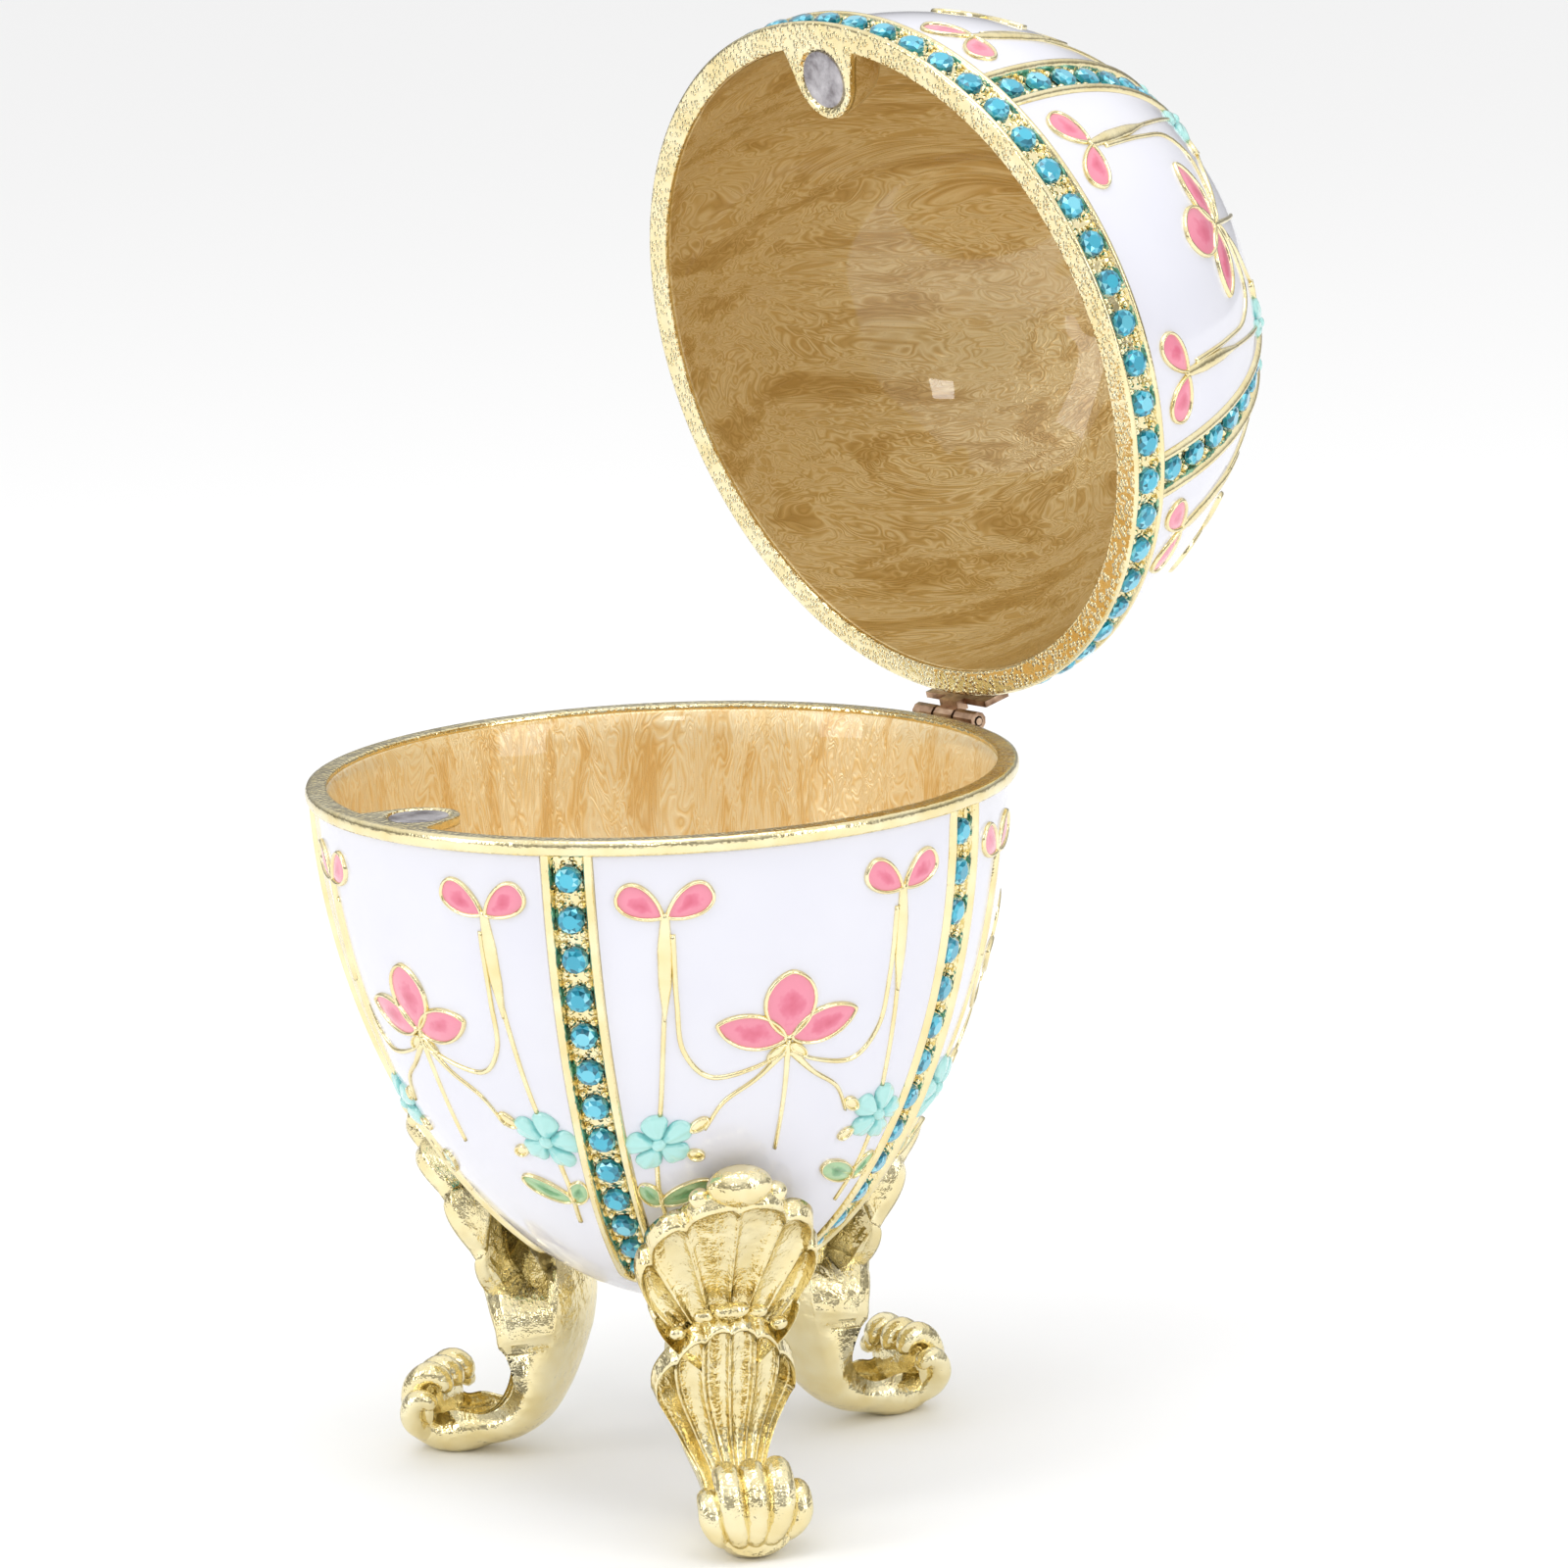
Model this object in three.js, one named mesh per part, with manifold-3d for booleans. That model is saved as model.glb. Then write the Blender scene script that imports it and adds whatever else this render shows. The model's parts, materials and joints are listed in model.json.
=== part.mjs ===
// Jewelled egg trinket box: a cast, enamelled egg on three scrolled feet, split near its widest
// line into a bowl and a lid that swings on a small barrel hinge at the back. Five ribs of round
// stones run down bowl and lid, and a full ring of stones circles the lid's rim. Two small
// magnets at the front hold the lid shut. The lid stands open, leaning back on its hinge stop.
//
// Millimetres, +Z up, hinge along X at the back (+Y), magnets at the front (-Y). The origin is
// on the ground under the middle of the open box.

import * as THREE from "three";
import { mergeVertices } from "three/addons/utils/BufferGeometryUtils.js";
import Module from "manifold-3d";

const wasm = await Module();
wasm.setup();

// ---- driving dimensions -------------------------------------------------------------------

const AXIS_Y = -15.29; // the egg's vertical axis lies this far in front of the origin
const RIM_Z = 61.7; // height of the bowl's rim face above the ground

const BOWL_RADIUS = 29.2; // enamel surface at the rim
const BOWL_DEPTH = 46.2; // rim face to the egg's lower tip, outside
const LID_RADIUS = 29.5;
const LID_HEIGHT = 33.8;
const RIM_INNER_RADIUS = 28.2; // mouth of the bowl and of the lid
const BOWL_WALL = 1.7;
const LID_WALL = 1.25;
const BAND_RADIUS = 30.0; // gold band round the bowl's rim
const BAND_HEIGHT = 1.3;
const LID_BAND_RADIUS = 30.5; // wider gold band round the lid, channelled for its stones
const LID_BAND_HEIGHT = 3.7;
const RIM_GAP = 0.25; // between the two rim faces when the lid is shut

const SECTORS = 5; // ribs round the egg, one of them at the hinge
const RIB_WIDTH = 4.4;
const RAIL_WIDTH = 0.9;
const RAIL_HEIGHT = 0.55;
const CHANNEL_DEPTH = 0.5; // channel floor below the enamel surface
const CAP_RADIUS = 4.6; // plain boss on the lid's crown, where the ribs meet

const STONE_DIAMETER = 2.3;
const STONE_PITCH = 3.42;
const RIM_STONES = 54; // places round the lid's rim, of which the hinge takes some

const MAGNET_RADIUS = 2.5;
const MAGNET_THICKNESS = 1.5;
const MAGNET_CENTRE = 25.4; // from the egg's axis
const BOSS_RADIUS = 3.9;
const BOSS_DEPTH = 6.0;

const LEG_ANGLES = { leg_back: 90, leg_front_left: -153, leg_front_right: -27 };

const HINGE_Y = 32.2; // barrel axis behind the egg's axis
const HINGE_Z = -0.6; // and below the bowl's rim face
const BARREL_RADIUS = 0.85;
const BARREL_LENGTH = 7.8;
const KNUCKLE_GAP = 0.15;
const PIN_RADIUS = 0.34;
const BORE_RADIUS = 0.5;
const OPEN_ANGLE = 77.5; // from shut to the stop

const GOLD = new THREE.MeshStandardMaterial({ color: 0xe3cf8a, metalness: 1, roughness: 0.28 });
const ENAMEL = new THREE.MeshStandardMaterial({ color: 0xecebf3, metalness: 0, roughness: 0.12 });
const STONE = new THREE.MeshStandardMaterial({ color: 0x46b9d7, metalness: 0.1, roughness: 0.05 });
const STEEL = new THREE.MeshStandardMaterial({ color: 0x9a9597, metalness: 0.9, roughness: 0.4 });
const BRASS = new THREE.MeshStandardMaterial({ color: 0xb08a66, metalness: 1, roughness: 0.4 });

const rad = THREE.MathUtils.degToRad;

// ---- solids -------------------------------------------------------------------------------

// A closed geometry as a solid that can be joined and cut.
function solid(geometry) {
  const bare = geometry.index ? geometry.toNonIndexed() : geometry.clone();
  bare.deleteAttribute("normal");
  bare.deleteAttribute("uv");
  const merged = mergeVertices(bare, 1e-4);
  return new wasm.Manifold(
    new wasm.Mesh({
      numProp: 3,
      vertProperties: new Float32Array(merged.attributes.position.array),
      triVerts: new Uint32Array(merged.index.array),
    }),
  );
}

function join(...parts) {
  return parts.reduce((whole, part) => whole.add(part));
}

// A named mesh made from a solid.
function piece(name, shape, material) {
  const mesh = shape.getMesh();
  const geometry = new THREE.BufferGeometry();
  const positions = new Float32Array(mesh.numVert * 3);
  for (let i = 0; i < mesh.numVert; i++) {
    const at = i * mesh.numProp;
    positions.set(mesh.vertProperties.subarray(at, at + 3), i * 3);
  }
  geometry.setAttribute("position", new THREE.BufferAttribute(positions, 3));
  geometry.setIndex(new THREE.BufferAttribute(new Uint32Array(mesh.triVerts), 1));
  geometry.computeVertexNormals();
  const made = new THREE.Mesh(geometry, material);
  made.name = name;
  return made;
}

// A closed body from a list of rings, each with the same number of points. Both ends are
// closed by a fan to the ring's own middle point.
function loft(rings) {
  const points = [];
  const index = [];
  const n = rings[0].length;
  for (const ring of rings) {
    points.push(...ring);
  }
  for (let k = 0; k + 1 < rings.length; k++) {
    for (let i = 0; i < n; i++) {
      const a = k * n + i;
      const b = k * n + ((i + 1) % n);
      index.push(a, b, a + n, b, b + n, a + n);
    }
  }
  for (const [k, turned] of [[0, true], [rings.length - 1, false]]) {
    const middle = new THREE.Vector3();
    rings[k].forEach((p) => middle.add(p));
    points.push(middle.divideScalar(n));
    for (let i = 0; i < n; i++) {
      const a = k * n + i;
      const b = k * n + ((i + 1) % n);
      index.push(points.length - 1, turned ? b : a, turned ? a : b);
    }
  }
  return new THREE.BufferGeometry().setFromPoints(points).setIndex(index);
}

// Turns a solid round, where a loft came out with its faces inward.
function outward(geometry) {
  const made = solid(geometry);
  if (made.volume() > 0) {
    return made;
  }
  const turned = geometry.clone();
  const index = Array.from(geometry.index.array);
  for (let i = 0; i < index.length; i += 3) {
    [index[i + 1], index[i + 2]] = [index[i + 2], index[i + 1]];
  }
  return solid(turned.setIndex(index));
}

function boxSolid(x0, x1, y0, y1, z0, z1) {
  const geometry = new THREE.BoxGeometry(x1 - x0, y1 - y0, z1 - z0);
  geometry.translate((x0 + x1) / 2, (y0 + y1) / 2, (z0 + z1) / 2);
  return solid(geometry);
}

// A cylinder along X.
function barrel(radius, x0, x1, y, z, sides = 10) {
  const geometry = new THREE.CylinderGeometry(radius, radius, x1 - x0, sides);
  geometry.rotateZ(Math.PI / 2);
  geometry.translate((x0 + x1) / 2, y, z);
  return solid(geometry);
}

// ---- the egg's outline --------------------------------------------------------------------

// One half of the egg's outline, from the rim (angle 0) to the tip (angle 90). `way` is +1
// for the lid and -1 for the bowl; the two powers make the curve fuller than an ellipse.
function halfEgg(radius, height, powerZ, powerR, way) {
  function at(angle) {
    const a = rad(angle);
    const r = radius * Math.pow(Math.max(Math.cos(a), 0), 2 / powerR);
    const z = way * height * Math.pow(Math.sin(a), 2 / powerZ);
    return new THREE.Vector2(r, z);
  }
  // A point `lift` outside the curve, measured square to it.
  function lifted(angle, lift) {
    const step = at(Math.min(angle + 0.5, 90)).sub(at(Math.max(angle - 0.5, 0))).normalize();
    const out = new THREE.Vector2(way * step.y, -way * step.x);
    return at(angle).addScaledVector(out, lift);
  }
  return { at, lifted, way, radius, height };
}

const bowlOutline = halfEgg(BOWL_RADIUS, BOWL_DEPTH, 1.87, 1.89, -1);
const lidOutline = halfEgg(LID_RADIUS, LID_HEIGHT, 2.12, 2.0, 1);

// The angle on an outline at which the curve has run `length` from the rim.
function angleAtLength(outline, length) {
  let run = 0;
  let last = outline.at(0);
  for (let a = 0.25; a <= 90; a += 0.25) {
    const next = outline.at(a);
    run += next.distanceTo(last);
    if (run >= length) {
      return a;
    }
    last = next;
  }
  return 90;
}

// Ribs are named by their compass angle, from the one at the hinge round the egg.
const RIB_ANGLES = Array.from({ length: SECTORS }, (_, i) => 90 + (i * 360) / SECTORS);

// The outside of one half with its ribs, closed across the rim plane. `rows` are outline
// angles; `ribEnd(rib)` is the outline angle at which that rib stops.
function outerBody(outline, rows, ribEnd) {
  const half = RIB_WIDTH / 2;
  const inner = half - RAIL_WIDTH;
  const section = [
    [-half, 0],
    [-inner - RAIL_WIDTH / 2, RAIL_HEIGHT],
    [-inner, -CHANNEL_DEPTH],
    [inner, -CHANNEL_DEPTH],
    [inner + RAIL_WIDTH / 2, RAIL_HEIGHT],
    [half, 0],
  ];
  const panel = [1 / 4, 1 / 2, 3 / 4];
  const rings = rows.map((row) => {
    const ring = [];
    RIB_ANGLES.forEach((rib, i) => {
      const on = row <= ribEnd(i);
      const plain = outline.at(row);
      const reach = Math.min(half / plain.x, rad(18));
      for (const [d, h] of section) {
        const p = outline.lifted(row, on ? h : 0);
        const turn = rad(rib) + (d / half) * reach;
        ring.push(new THREE.Vector3(p.x * Math.cos(turn), p.x * Math.sin(turn), p.y));
      }
      for (const share of panel) {
        const turn = rad(rib) + reach + share * (rad(360 / SECTORS) - 2 * reach);
        ring.push(new THREE.Vector3(plain.x * Math.cos(turn), plain.x * Math.sin(turn), plain.y));
      }
    });
    return ring;
  });
  return outward(loft(rings));
}

// A ring or bowl turned about the egg's axis from (radius, height) points.
function turned(points, segments = 40) {
  const outline = points.map(([r, z]) => new THREE.Vector2(r, z));
  const geometry = new THREE.LatheGeometry(outline, segments);
  geometry.rotateX(Math.PI / 2);
  return outward(mergeVertices(stripped(geometry), 1e-4));
}

function stripped(geometry) {
  const bare = geometry.clone();
  bare.deleteAttribute("normal");
  bare.deleteAttribute("uv");
  return bare;
}

// The room inside one half: straight at the mouth, then a curve `wall` inside the outline.
function innerBody(outline, wall, rows) {
  const way = outline.way;
  const points = [
    [0, -way * 3],
    [RIM_INNER_RADIUS, -way * 3],
    [RIM_INNER_RADIUS, way * 1.0],
  ];
  for (const row of rows) {
    const p = outline.lifted(row, -wall);
    points.push([Math.min(p.x, RIM_INNER_RADIUS), p.y]);
  }
  points.push([0, outline.at(90).y - way * wall]);
  return turned(points, 30);
}

// The boss that holds a magnet: a short pillar inside the wall, tapering away from the rim.
function magnetBoss(way) {
  const profile = [
    [0, 0],
    [BOSS_RADIUS, 0],
    [BOSS_RADIUS, way * BOSS_DEPTH * 0.4],
    [BOSS_RADIUS * 0.72, way * BOSS_DEPTH * 0.85],
    [0, way * BOSS_DEPTH],
  ];
  return turned(profile, 14).translate([0, -MAGNET_CENTRE, 0]);
}

function magnetDisc(way, radius, z0, z1) {
  const profile = [
    [0, way * z0],
    [radius, way * z0],
    [radius, way * z1],
    [0, way * z1],
  ];
  return turned(profile, 16).translate([0, -MAGNET_CENTRE, 0]);
}

// ---- rows of stones -----------------------------------------------------------------------

// A row of cut stones on their bed, as one body. `frame(s)` gives the place at length s along
// the row: {at, out, across}, with `out` away from the egg and `across` square to the row. The
// row is narrow and low between two stones, and each stone rises to a small flat table.
function stoneRow(count, frame) {
  const rings = [];
  for (let k = 0; k <= 2 * count; k++) {
    const { at, out, across } = frame((k / 2) * STONE_PITCH);
    const high = k % 2 === 1;
    const foot = high ? STONE_DIAMETER / 2 : STONE_DIAMETER * 0.27;
    const table = high ? STONE_DIAMETER * 0.23 : STONE_DIAMETER * 0.2;
    const top = high ? 0.6 : 0.1;
    const corner = (side, up) =>
      at.clone().addScaledVector(across, side).addScaledVector(out, up);
    rings.push([corner(-foot, -0.2), corner(foot, -0.2), corner(table, top), corner(-table, top)]);
  }
  return outward(loft(rings));
}

function indexed(geometry) {
  return mergeVertices(stripped(geometry), 1e-4);
}

// The stones of one rib, starting `start` along the outline from the rim.
function ribStones(outline, rib, start, count) {
  const turn = rad(RIB_ANGLES[rib]);
  const around = new THREE.Vector3(Math.cos(turn), Math.sin(turn), 0);
  return stoneRow(count, (s) => {
    const angle = angleAtLength(outline, start + s);
    const p = outline.at(angle);
    const q = outline.lifted(angle, 1).sub(p);
    const at = around.clone().multiplyScalar(p.x).setZ(p.y);
    const out = around.clone().multiplyScalar(q.x).setZ(q.y).normalize();
    return { at, out, across: new THREE.Vector3(-Math.sin(turn), Math.cos(turn), 0) };
  });
}

// ---- legs ---------------------------------------------------------------------------------

// A leg is drawn in its own frame: X outward from the egg's axis, Y across the leg, Z up from
// the bowl's rim face, and is then turned to its place.

// Front line of the upper shell, from the point where its flutes meet up to its top edge.
const upperSpine = new THREE.CatmullRomCurve3([
  new THREE.Vector3(14.9, 0, -48.8),
  new THREE.Vector3(16.9, 0, -43.2),
  new THREE.Vector3(19.3, 0, -38.4),
  new THREE.Vector3(22.0, 0, -33.8),
  new THREE.Vector3(24.0, 0, -30.2),
]);
// Front line of the lower shell, from the foot back up through the ankle to its top edge.
const lowerSpine = new THREE.CatmullRomCurve3([
  new THREE.Vector3(25.2, 0, -58.6),
  new THREE.Vector3(21.2, 0, -59.3),
  new THREE.Vector3(18.3, 0, -57.6),
  new THREE.Vector3(16.5, 0, -54.4),
  new THREE.Vector3(16.3, 0, -51.0),
  new THREE.Vector3(17.1, 0, -47.0),
  new THREE.Vector3(18.6, 0, -42.9),
]);
const UPPER_FLUTES = 7;
const UPPER_SPREAD = 57; // the fan's half angle
const UPPER_REACH = 20.6; // length of its middle flute
const UPPER_SAG = 0.04; // bends back by this times the square of the distance across
const UPPER_DEPTH = 5.2; // front to back, before the egg's room is taken out
const LOWER_FLUTES = 5;
const CORNER_HALF_WIDTH = 6.5;
const ANKLE_HALF_WIDTH = 2.8;
const FOOT_HALF_WIDTH = 3.3;
const LOWER_BULGE = 2.2; // how far the middle stands in front of the edges
const LOWER_DEPTH = 2.65; // front to back at the foot
const SCROLL_LOBES = 5;
const SCROLL_HALF_WIDTH = 4.5;
const SCROLL_DEPTH = 2.2; // half its size outward
const SCROLL_HEIGHT = 3.5; // half its size upward

const smooth = THREE.MathUtils.smoothstep;

// A point on a shell: `s` from 0 to 1 along the spine, `y` across it, `lift` out from it.
function onShell(spine, s, y, lift) {
  const t = THREE.MathUtils.clamp(s, 0, 1);
  const at = spine.getPointAt(t);
  const along = spine.getTangentAt(t);
  at.addScaledVector(new THREE.Vector3(along.z, 0, -along.x), lift);
  at.y = y;
  return at;
}

// A fluted plate: `front(u, v)` gives a point of the front face for u and v from 0 to 1, and
// `back(u, v)` the point behind it.
function plate(columns, rows, front, back) {
  const rings = [];
  for (let j = 0; j <= rows; j++) {
    const ring = [];
    for (let i = 0; i <= columns; i++) {
      ring.push(front(i / columns, j / rows));
    }
    for (let i = columns; i >= 0; i -= 2) {
      ring.push(back(i / columns, j / rows));
    }
    rings.push(ring);
  }
  return outward(loft(rings));
}

// Upper shell: flutes fan out upward from the waist to a scalloped edge.
function upperShell() {
  const length = upperSpine.getLength();
  const place = (u, v, lift) => {
    const across = 2 * u - 1;
    const turn = across * rad(UPPER_SPREAD);
    const scallop = 1 + 0.045 * Math.cos(across * Math.PI * UPPER_FLUTES);
    const fall = Math.pow((Math.abs(across) * UPPER_SPREAD) / 63, 1.7);
    const run = 1.5 + (UPPER_REACH * (1 - fall) * scallop - 1.5) * v;
    const y = run * Math.sin(turn);
    return onShell(upperSpine, (run * Math.cos(turn)) / length, y, lift - UPPER_SAG * y * y);
  };
  const front = (u, v) => {
    const flute = 0.5 * Math.cos((2 * u - 1) * Math.PI * UPPER_FLUTES);
    return place(u, v, flute * Math.min(1, 0.3 + v) + (v > 0.99 ? 0.25 : 0));
  };
  const back = (u, v) => place(u, v, -UPPER_DEPTH);
  return plate(2 * UPPER_FLUTES, 3, front, back);
}

// Lower shell, ankle and foot: its arched top edge ends in two rounded corners, from which the
// sides run in to the ankle. The middle bulges forward down to the ankle and is hollowed
// toward the foot.
function lowerShell() {
  const halfWidth = (s) => {
    const foot = THREE.MathUtils.lerp(FOOT_HALF_WIDTH, ANKLE_HALF_WIDTH, smooth(s, 0.1, 0.42));
    return foot + (CORNER_HALF_WIDTH - ANKLE_HALF_WIDTH) * Math.pow(smooth(s, 0.3, 0.74), 0.9);
  };
  const place = (u, v, lift) => {
    const across = 2 * u - 1;
    const lobes = 0.025 * Math.cos(across * Math.PI * LOWER_FLUTES);
    const s = v * (1 - 0.31 * across * across + lobes * smooth(v, 0.5, 1));
    const y = across * halfWidth(s);
    const bulge = LOWER_BULGE * smooth(s, 0.12, 0.5) - 0.5 * (1 - smooth(s, 0.1, 0.3));
    return onShell(lowerSpine, s, y, lift - bulge * across * across);
  };
  const front = (u, v) => {
    const flute = 0.4 * Math.cos((2 * u - 1) * Math.PI * LOWER_FLUTES);
    return place(u, v, flute * Math.min(1, 0.5 + v) + (v > 0.99 ? 0.25 : 0));
  };
  const back = (u, v) => place(u, v, -LOWER_DEPTH - 1.3 * smooth(v, 0.1, 0.8));
  return plate(2 * LOWER_FLUTES, 6, front, back);
}

// Scroll: a lobed roll across the end of the foot, its outer lobes lower than the middle ones.
function scroll() {
  const rings = [];
  const stations = 2 * SCROLL_LOBES;
  for (let k = 0; k <= stations; k++) {
    const across = (2 * k) / stations - 1;
    const lobe = 1 + 0.08 * Math.cos(across * Math.PI * SCROLL_LOBES);
    const size = lobe * Math.pow(1 - Math.pow(Math.abs(across) * 0.95, 3), 0.5);
    const drop = 1.6 * across * across;
    const ring = [];
    for (let i = 0; i < 8; i++) {
      const a = ((i + 0.5) / 8) * 2 * Math.PI;
      const x = 24.2 + SCROLL_DEPTH * size * Math.cos(a) * 1.08;
      const z = -56.9 + SCROLL_HEIGHT * size * Math.sin(a) * 1.08 - drop;
      ring.push(new THREE.Vector3(x, across * SCROLL_HALF_WIDTH, z));
    }
    rings.push(ring);
  }
  return outward(loft(rings));
}

function crownBead() {
  const geometry = new THREE.SphereGeometry(1, 8, 5);
  geometry.scale(1.9, 2.5, 1.9);
  geometry.rotateY(-0.45);
  geometry.translate(24.2, 0, -30.2);
  return outward(indexed(geometry));
}

// The room a leg leaves for the egg and for the ribs beside it.
function eggRoom() {
  const points = [[0, -20]];
  for (const row of [24, 32, 40, 48, 56, 64, 73, 82]) {
    const p = bowlOutline.lifted(row, 0.32);
    points.push([p.x, p.y]);
  }
  points[0][1] = points[1][1];
  points.push([0, -BOWL_DEPTH - 0.35]);
  return turned(points, 36);
}

function ribRoom(rib) {
  const turn = rad(RIB_ANGLES[rib]);
  const half = RIB_WIDTH / 2 + 0.3;
  const across = new THREE.Vector3(-Math.sin(turn), Math.cos(turn), 0);
  const end = ribEndOnBowl(rib) + 1.5;
  const rings = [0.4, 0.55, 0.7, 0.85, 1].map((share) => {
    const corner = (side, lift) => {
      const p = bowlOutline.lifted(share * end, lift);
      const at = new THREE.Vector3(p.x * Math.cos(turn), p.x * Math.sin(turn), p.y);
      return at.addScaledVector(across, side);
    };
    return [corner(-half, -1), corner(half, -1), corner(half, 1), corner(-half, 1)];
  });
  return outward(loft(rings));
}

function leg(angle, room) {
  const whole = join(upperShell(), lowerShell(), scroll(), crownBead());
  const body = whole.trimByPlane([0, 0, 1], -RIM_Z);
  // The cut can leave thin chips of plate beside a rib; the leg is the largest body.
  const cut = body.rotate([0, 0, angle]).subtract(room).decompose();
  return cut.reduce((a, b) => (a.volume() > b.volume() ? a : b));
}

// ---- bowl ---------------------------------------------------------------------------------

const bowlRibCounts = RIB_ANGLES.map((_, i) => (i === 0 ? 7 : 13));
const BOWL_ROW_START = 1.6; // first stone's place begins this far below the rim

function ribEndOnBowl(i) {
  return angleAtLength(bowlOutline, BOWL_ROW_START + bowlRibCounts[i] * STONE_PITCH + 0.5);
}

const backEnd = ribEndOnBowl(0);
const frontEnd = ribEndOnBowl(1);
const bowlRows = [0, 10, 20, backEnd, backEnd + 1, 42, 51, frontEnd, frontEnd + 1, 72, 82];

const bowlOuter = outerBody(bowlOutline, bowlRows, ribEndOnBowl);
const legRoom = join(eggRoom(), ribRoom(2), ribRoom(3));

const bowlBand = turned(
  [
    [RIM_INNER_RADIUS - 0.4, 0],
    [BAND_RADIUS - 0.15, 0],
    [BAND_RADIUS, -BAND_HEIGHT / 2],
    [BAND_RADIUS - 0.25, -BAND_HEIGHT],
    [RIM_INNER_RADIUS - 0.4, -BAND_HEIGHT],
    [RIM_INNER_RADIUS - 0.4, 0],
  ],
  45,
);

const bowlInner = innerBody(bowlOutline, BOWL_WALL, [10, 25, 40, 55, 72]);
const bowlShell = join(bowlOuter, bowlBand)
  .subtract(bowlInner)
  .add(magnetBoss(-1).intersect(bowlOuter))
  .subtract(magnetDisc(-1, MAGNET_RADIUS + 0.15, -1, MAGNET_THICKNESS + 0.3));

// ---- lid ----------------------------------------------------------------------------------

const LID_ROW_START = LID_BAND_HEIGHT + 0.35;
const LID_RIB_STONES = 12;

const lidRows = [0, 10, 21, 32, 43, 54, 66, 78];
const lidOuter = outerBody(lidOutline, lidRows, () => 90);

// Lid band, with the channel that takes the ring of stones.
const lidBand = turned(
  [
    [RIM_INNER_RADIUS - 0.4, 0],
    [LID_BAND_RADIUS - 0.15, 0],
    [LID_BAND_RADIUS, 0.55],
    [LID_BAND_RADIUS - 0.75, 0.6],
    [LID_BAND_RADIUS - 0.75, 3.1],
    [LID_BAND_RADIUS - 0.15, 3.15],
    [LID_BAND_RADIUS - 0.3, LID_BAND_HEIGHT],
    [RIM_INNER_RADIUS - 0.4, LID_BAND_HEIGHT],
    [RIM_INNER_RADIUS - 0.4, 0],
  ],
  45,
);

const crown = lidOutline.at(90).y;
const cap = turned(
  [
    [0, crown - 2.2],
    [CAP_RADIUS, crown - 2.2],
    [CAP_RADIUS, crown + 0.2],
    [CAP_RADIUS * 0.7, crown + 0.85],
    [0, crown + 1.15],
  ],
  15,
);

const lidInner = innerBody(lidOutline, LID_WALL, [10, 25, 40, 55, 72]);
const lidShell = join(lidOuter, lidBand, cap)
  .subtract(lidInner)
  .add(magnetBoss(1).intersect(lidOuter))
  .subtract(magnetDisc(1, MAGNET_RADIUS + 0.15, -1, MAGNET_THICKNESS + 0.3));

// The ring of stones round the lid's band, open where the hinge leaf sits.
function rimStones() {
  const step = 360 / RIM_STONES;
  const skipped = 3; // places that the leaf covers
  const radius = LID_BAND_RADIUS - 0.25;
  const first = 90 + (skipped / 2) * step;
  const scale = (radius * rad(step)) / STONE_PITCH;
  return stoneRow(RIM_STONES - skipped, (s) => {
    const turn = rad(first) + (s * scale) / radius;
    const out = new THREE.Vector3(Math.cos(turn), Math.sin(turn), 0);
    const at = out.clone().multiplyScalar(radius).setZ(1.85);
    return { at, out, across: new THREE.Vector3(0, 0, 1) };
  });
}

// ---- hinge --------------------------------------------------------------------------------

const knuckle = BARREL_LENGTH / 3;
const endX = BARREL_LENGTH / 2;
const midX = knuckle / 2;
const bore = barrel(BORE_RADIUS, -6, 6, HINGE_Y, HINGE_Z, 8);

// Bowl leaf: a plate on the bowl's back with the two outer knuckles.
const bowlLeaf = join(
  boxSolid(-endX, endX, BAND_RADIUS + 0.35, BAND_RADIUS + 0.95, -3.4, -1.15),
  ...[-1, 1].flatMap((side) => {
    const x0 = side > 0 ? midX + KNUCKLE_GAP : -endX;
    const x1 = side > 0 ? endX : -midX - KNUCKLE_GAP;
    return [
      barrel(BARREL_RADIUS, x0, x1, HINGE_Y, HINGE_Z),
      boxSolid(x0, x1, BAND_RADIUS + 0.35, HINGE_Y - 0.45, -1.5, -0.75),
    ];
  }),
).subtract(bore);

// Lid leaf, drawn in the shut position: a plate on the lid's back with the middle knuckle.
const lidLeaf = join(
  boxSolid(-endX, endX, LID_BAND_RADIUS + 0.3, LID_BAND_RADIUS + 0.85, 0.55, 3.3),
  barrel(BARREL_RADIUS, -midX + KNUCKLE_GAP, midX - KNUCKLE_GAP, HINGE_Y, HINGE_Z),
  boxSolid(
    -midX + KNUCKLE_GAP,
    midX - KNUCKLE_GAP,
    LID_BAND_RADIUS + 0.3,
    HINGE_Y - 0.35,
    -0.35,
    0.8,
  ),
).subtract(bore);

const pin = barrel(PIN_RADIUS, -endX - 0.1, endX + 0.1, HINGE_Y, HINGE_Z, 8);

// ---- the whole ----------------------------------------------------------------------------

const box = new THREE.Group();
box.position.set(0, AXIS_Y, RIM_Z);

box.add(piece("bowl_shell", bowlShell, ENAMEL));
RIB_ANGLES.forEach((_, i) => {
  const stones = ribStones(bowlOutline, i, BOWL_ROW_START, bowlRibCounts[i]);
  box.add(piece(`bowl_stones_${i + 1}`, stones, STONE));
});
box.add(piece("bowl_magnet", magnetDisc(-1, MAGNET_RADIUS, 0.05, MAGNET_THICKNESS), STEEL));
for (const [name, angle] of Object.entries(LEG_ANGLES)) {
  box.add(piece(name, leg(angle, legRoom), GOLD));
}
box.add(piece("hinge_leaf_bowl", bowlLeaf, BRASS));
box.add(piece("hinge_pin", pin, BRASS));

const lid = new THREE.Group();
lid.position.set(0, HINGE_Y, HINGE_Z);
lid.rotation.x = -rad(OPEN_ANGLE);
box.add(lid);

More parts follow.
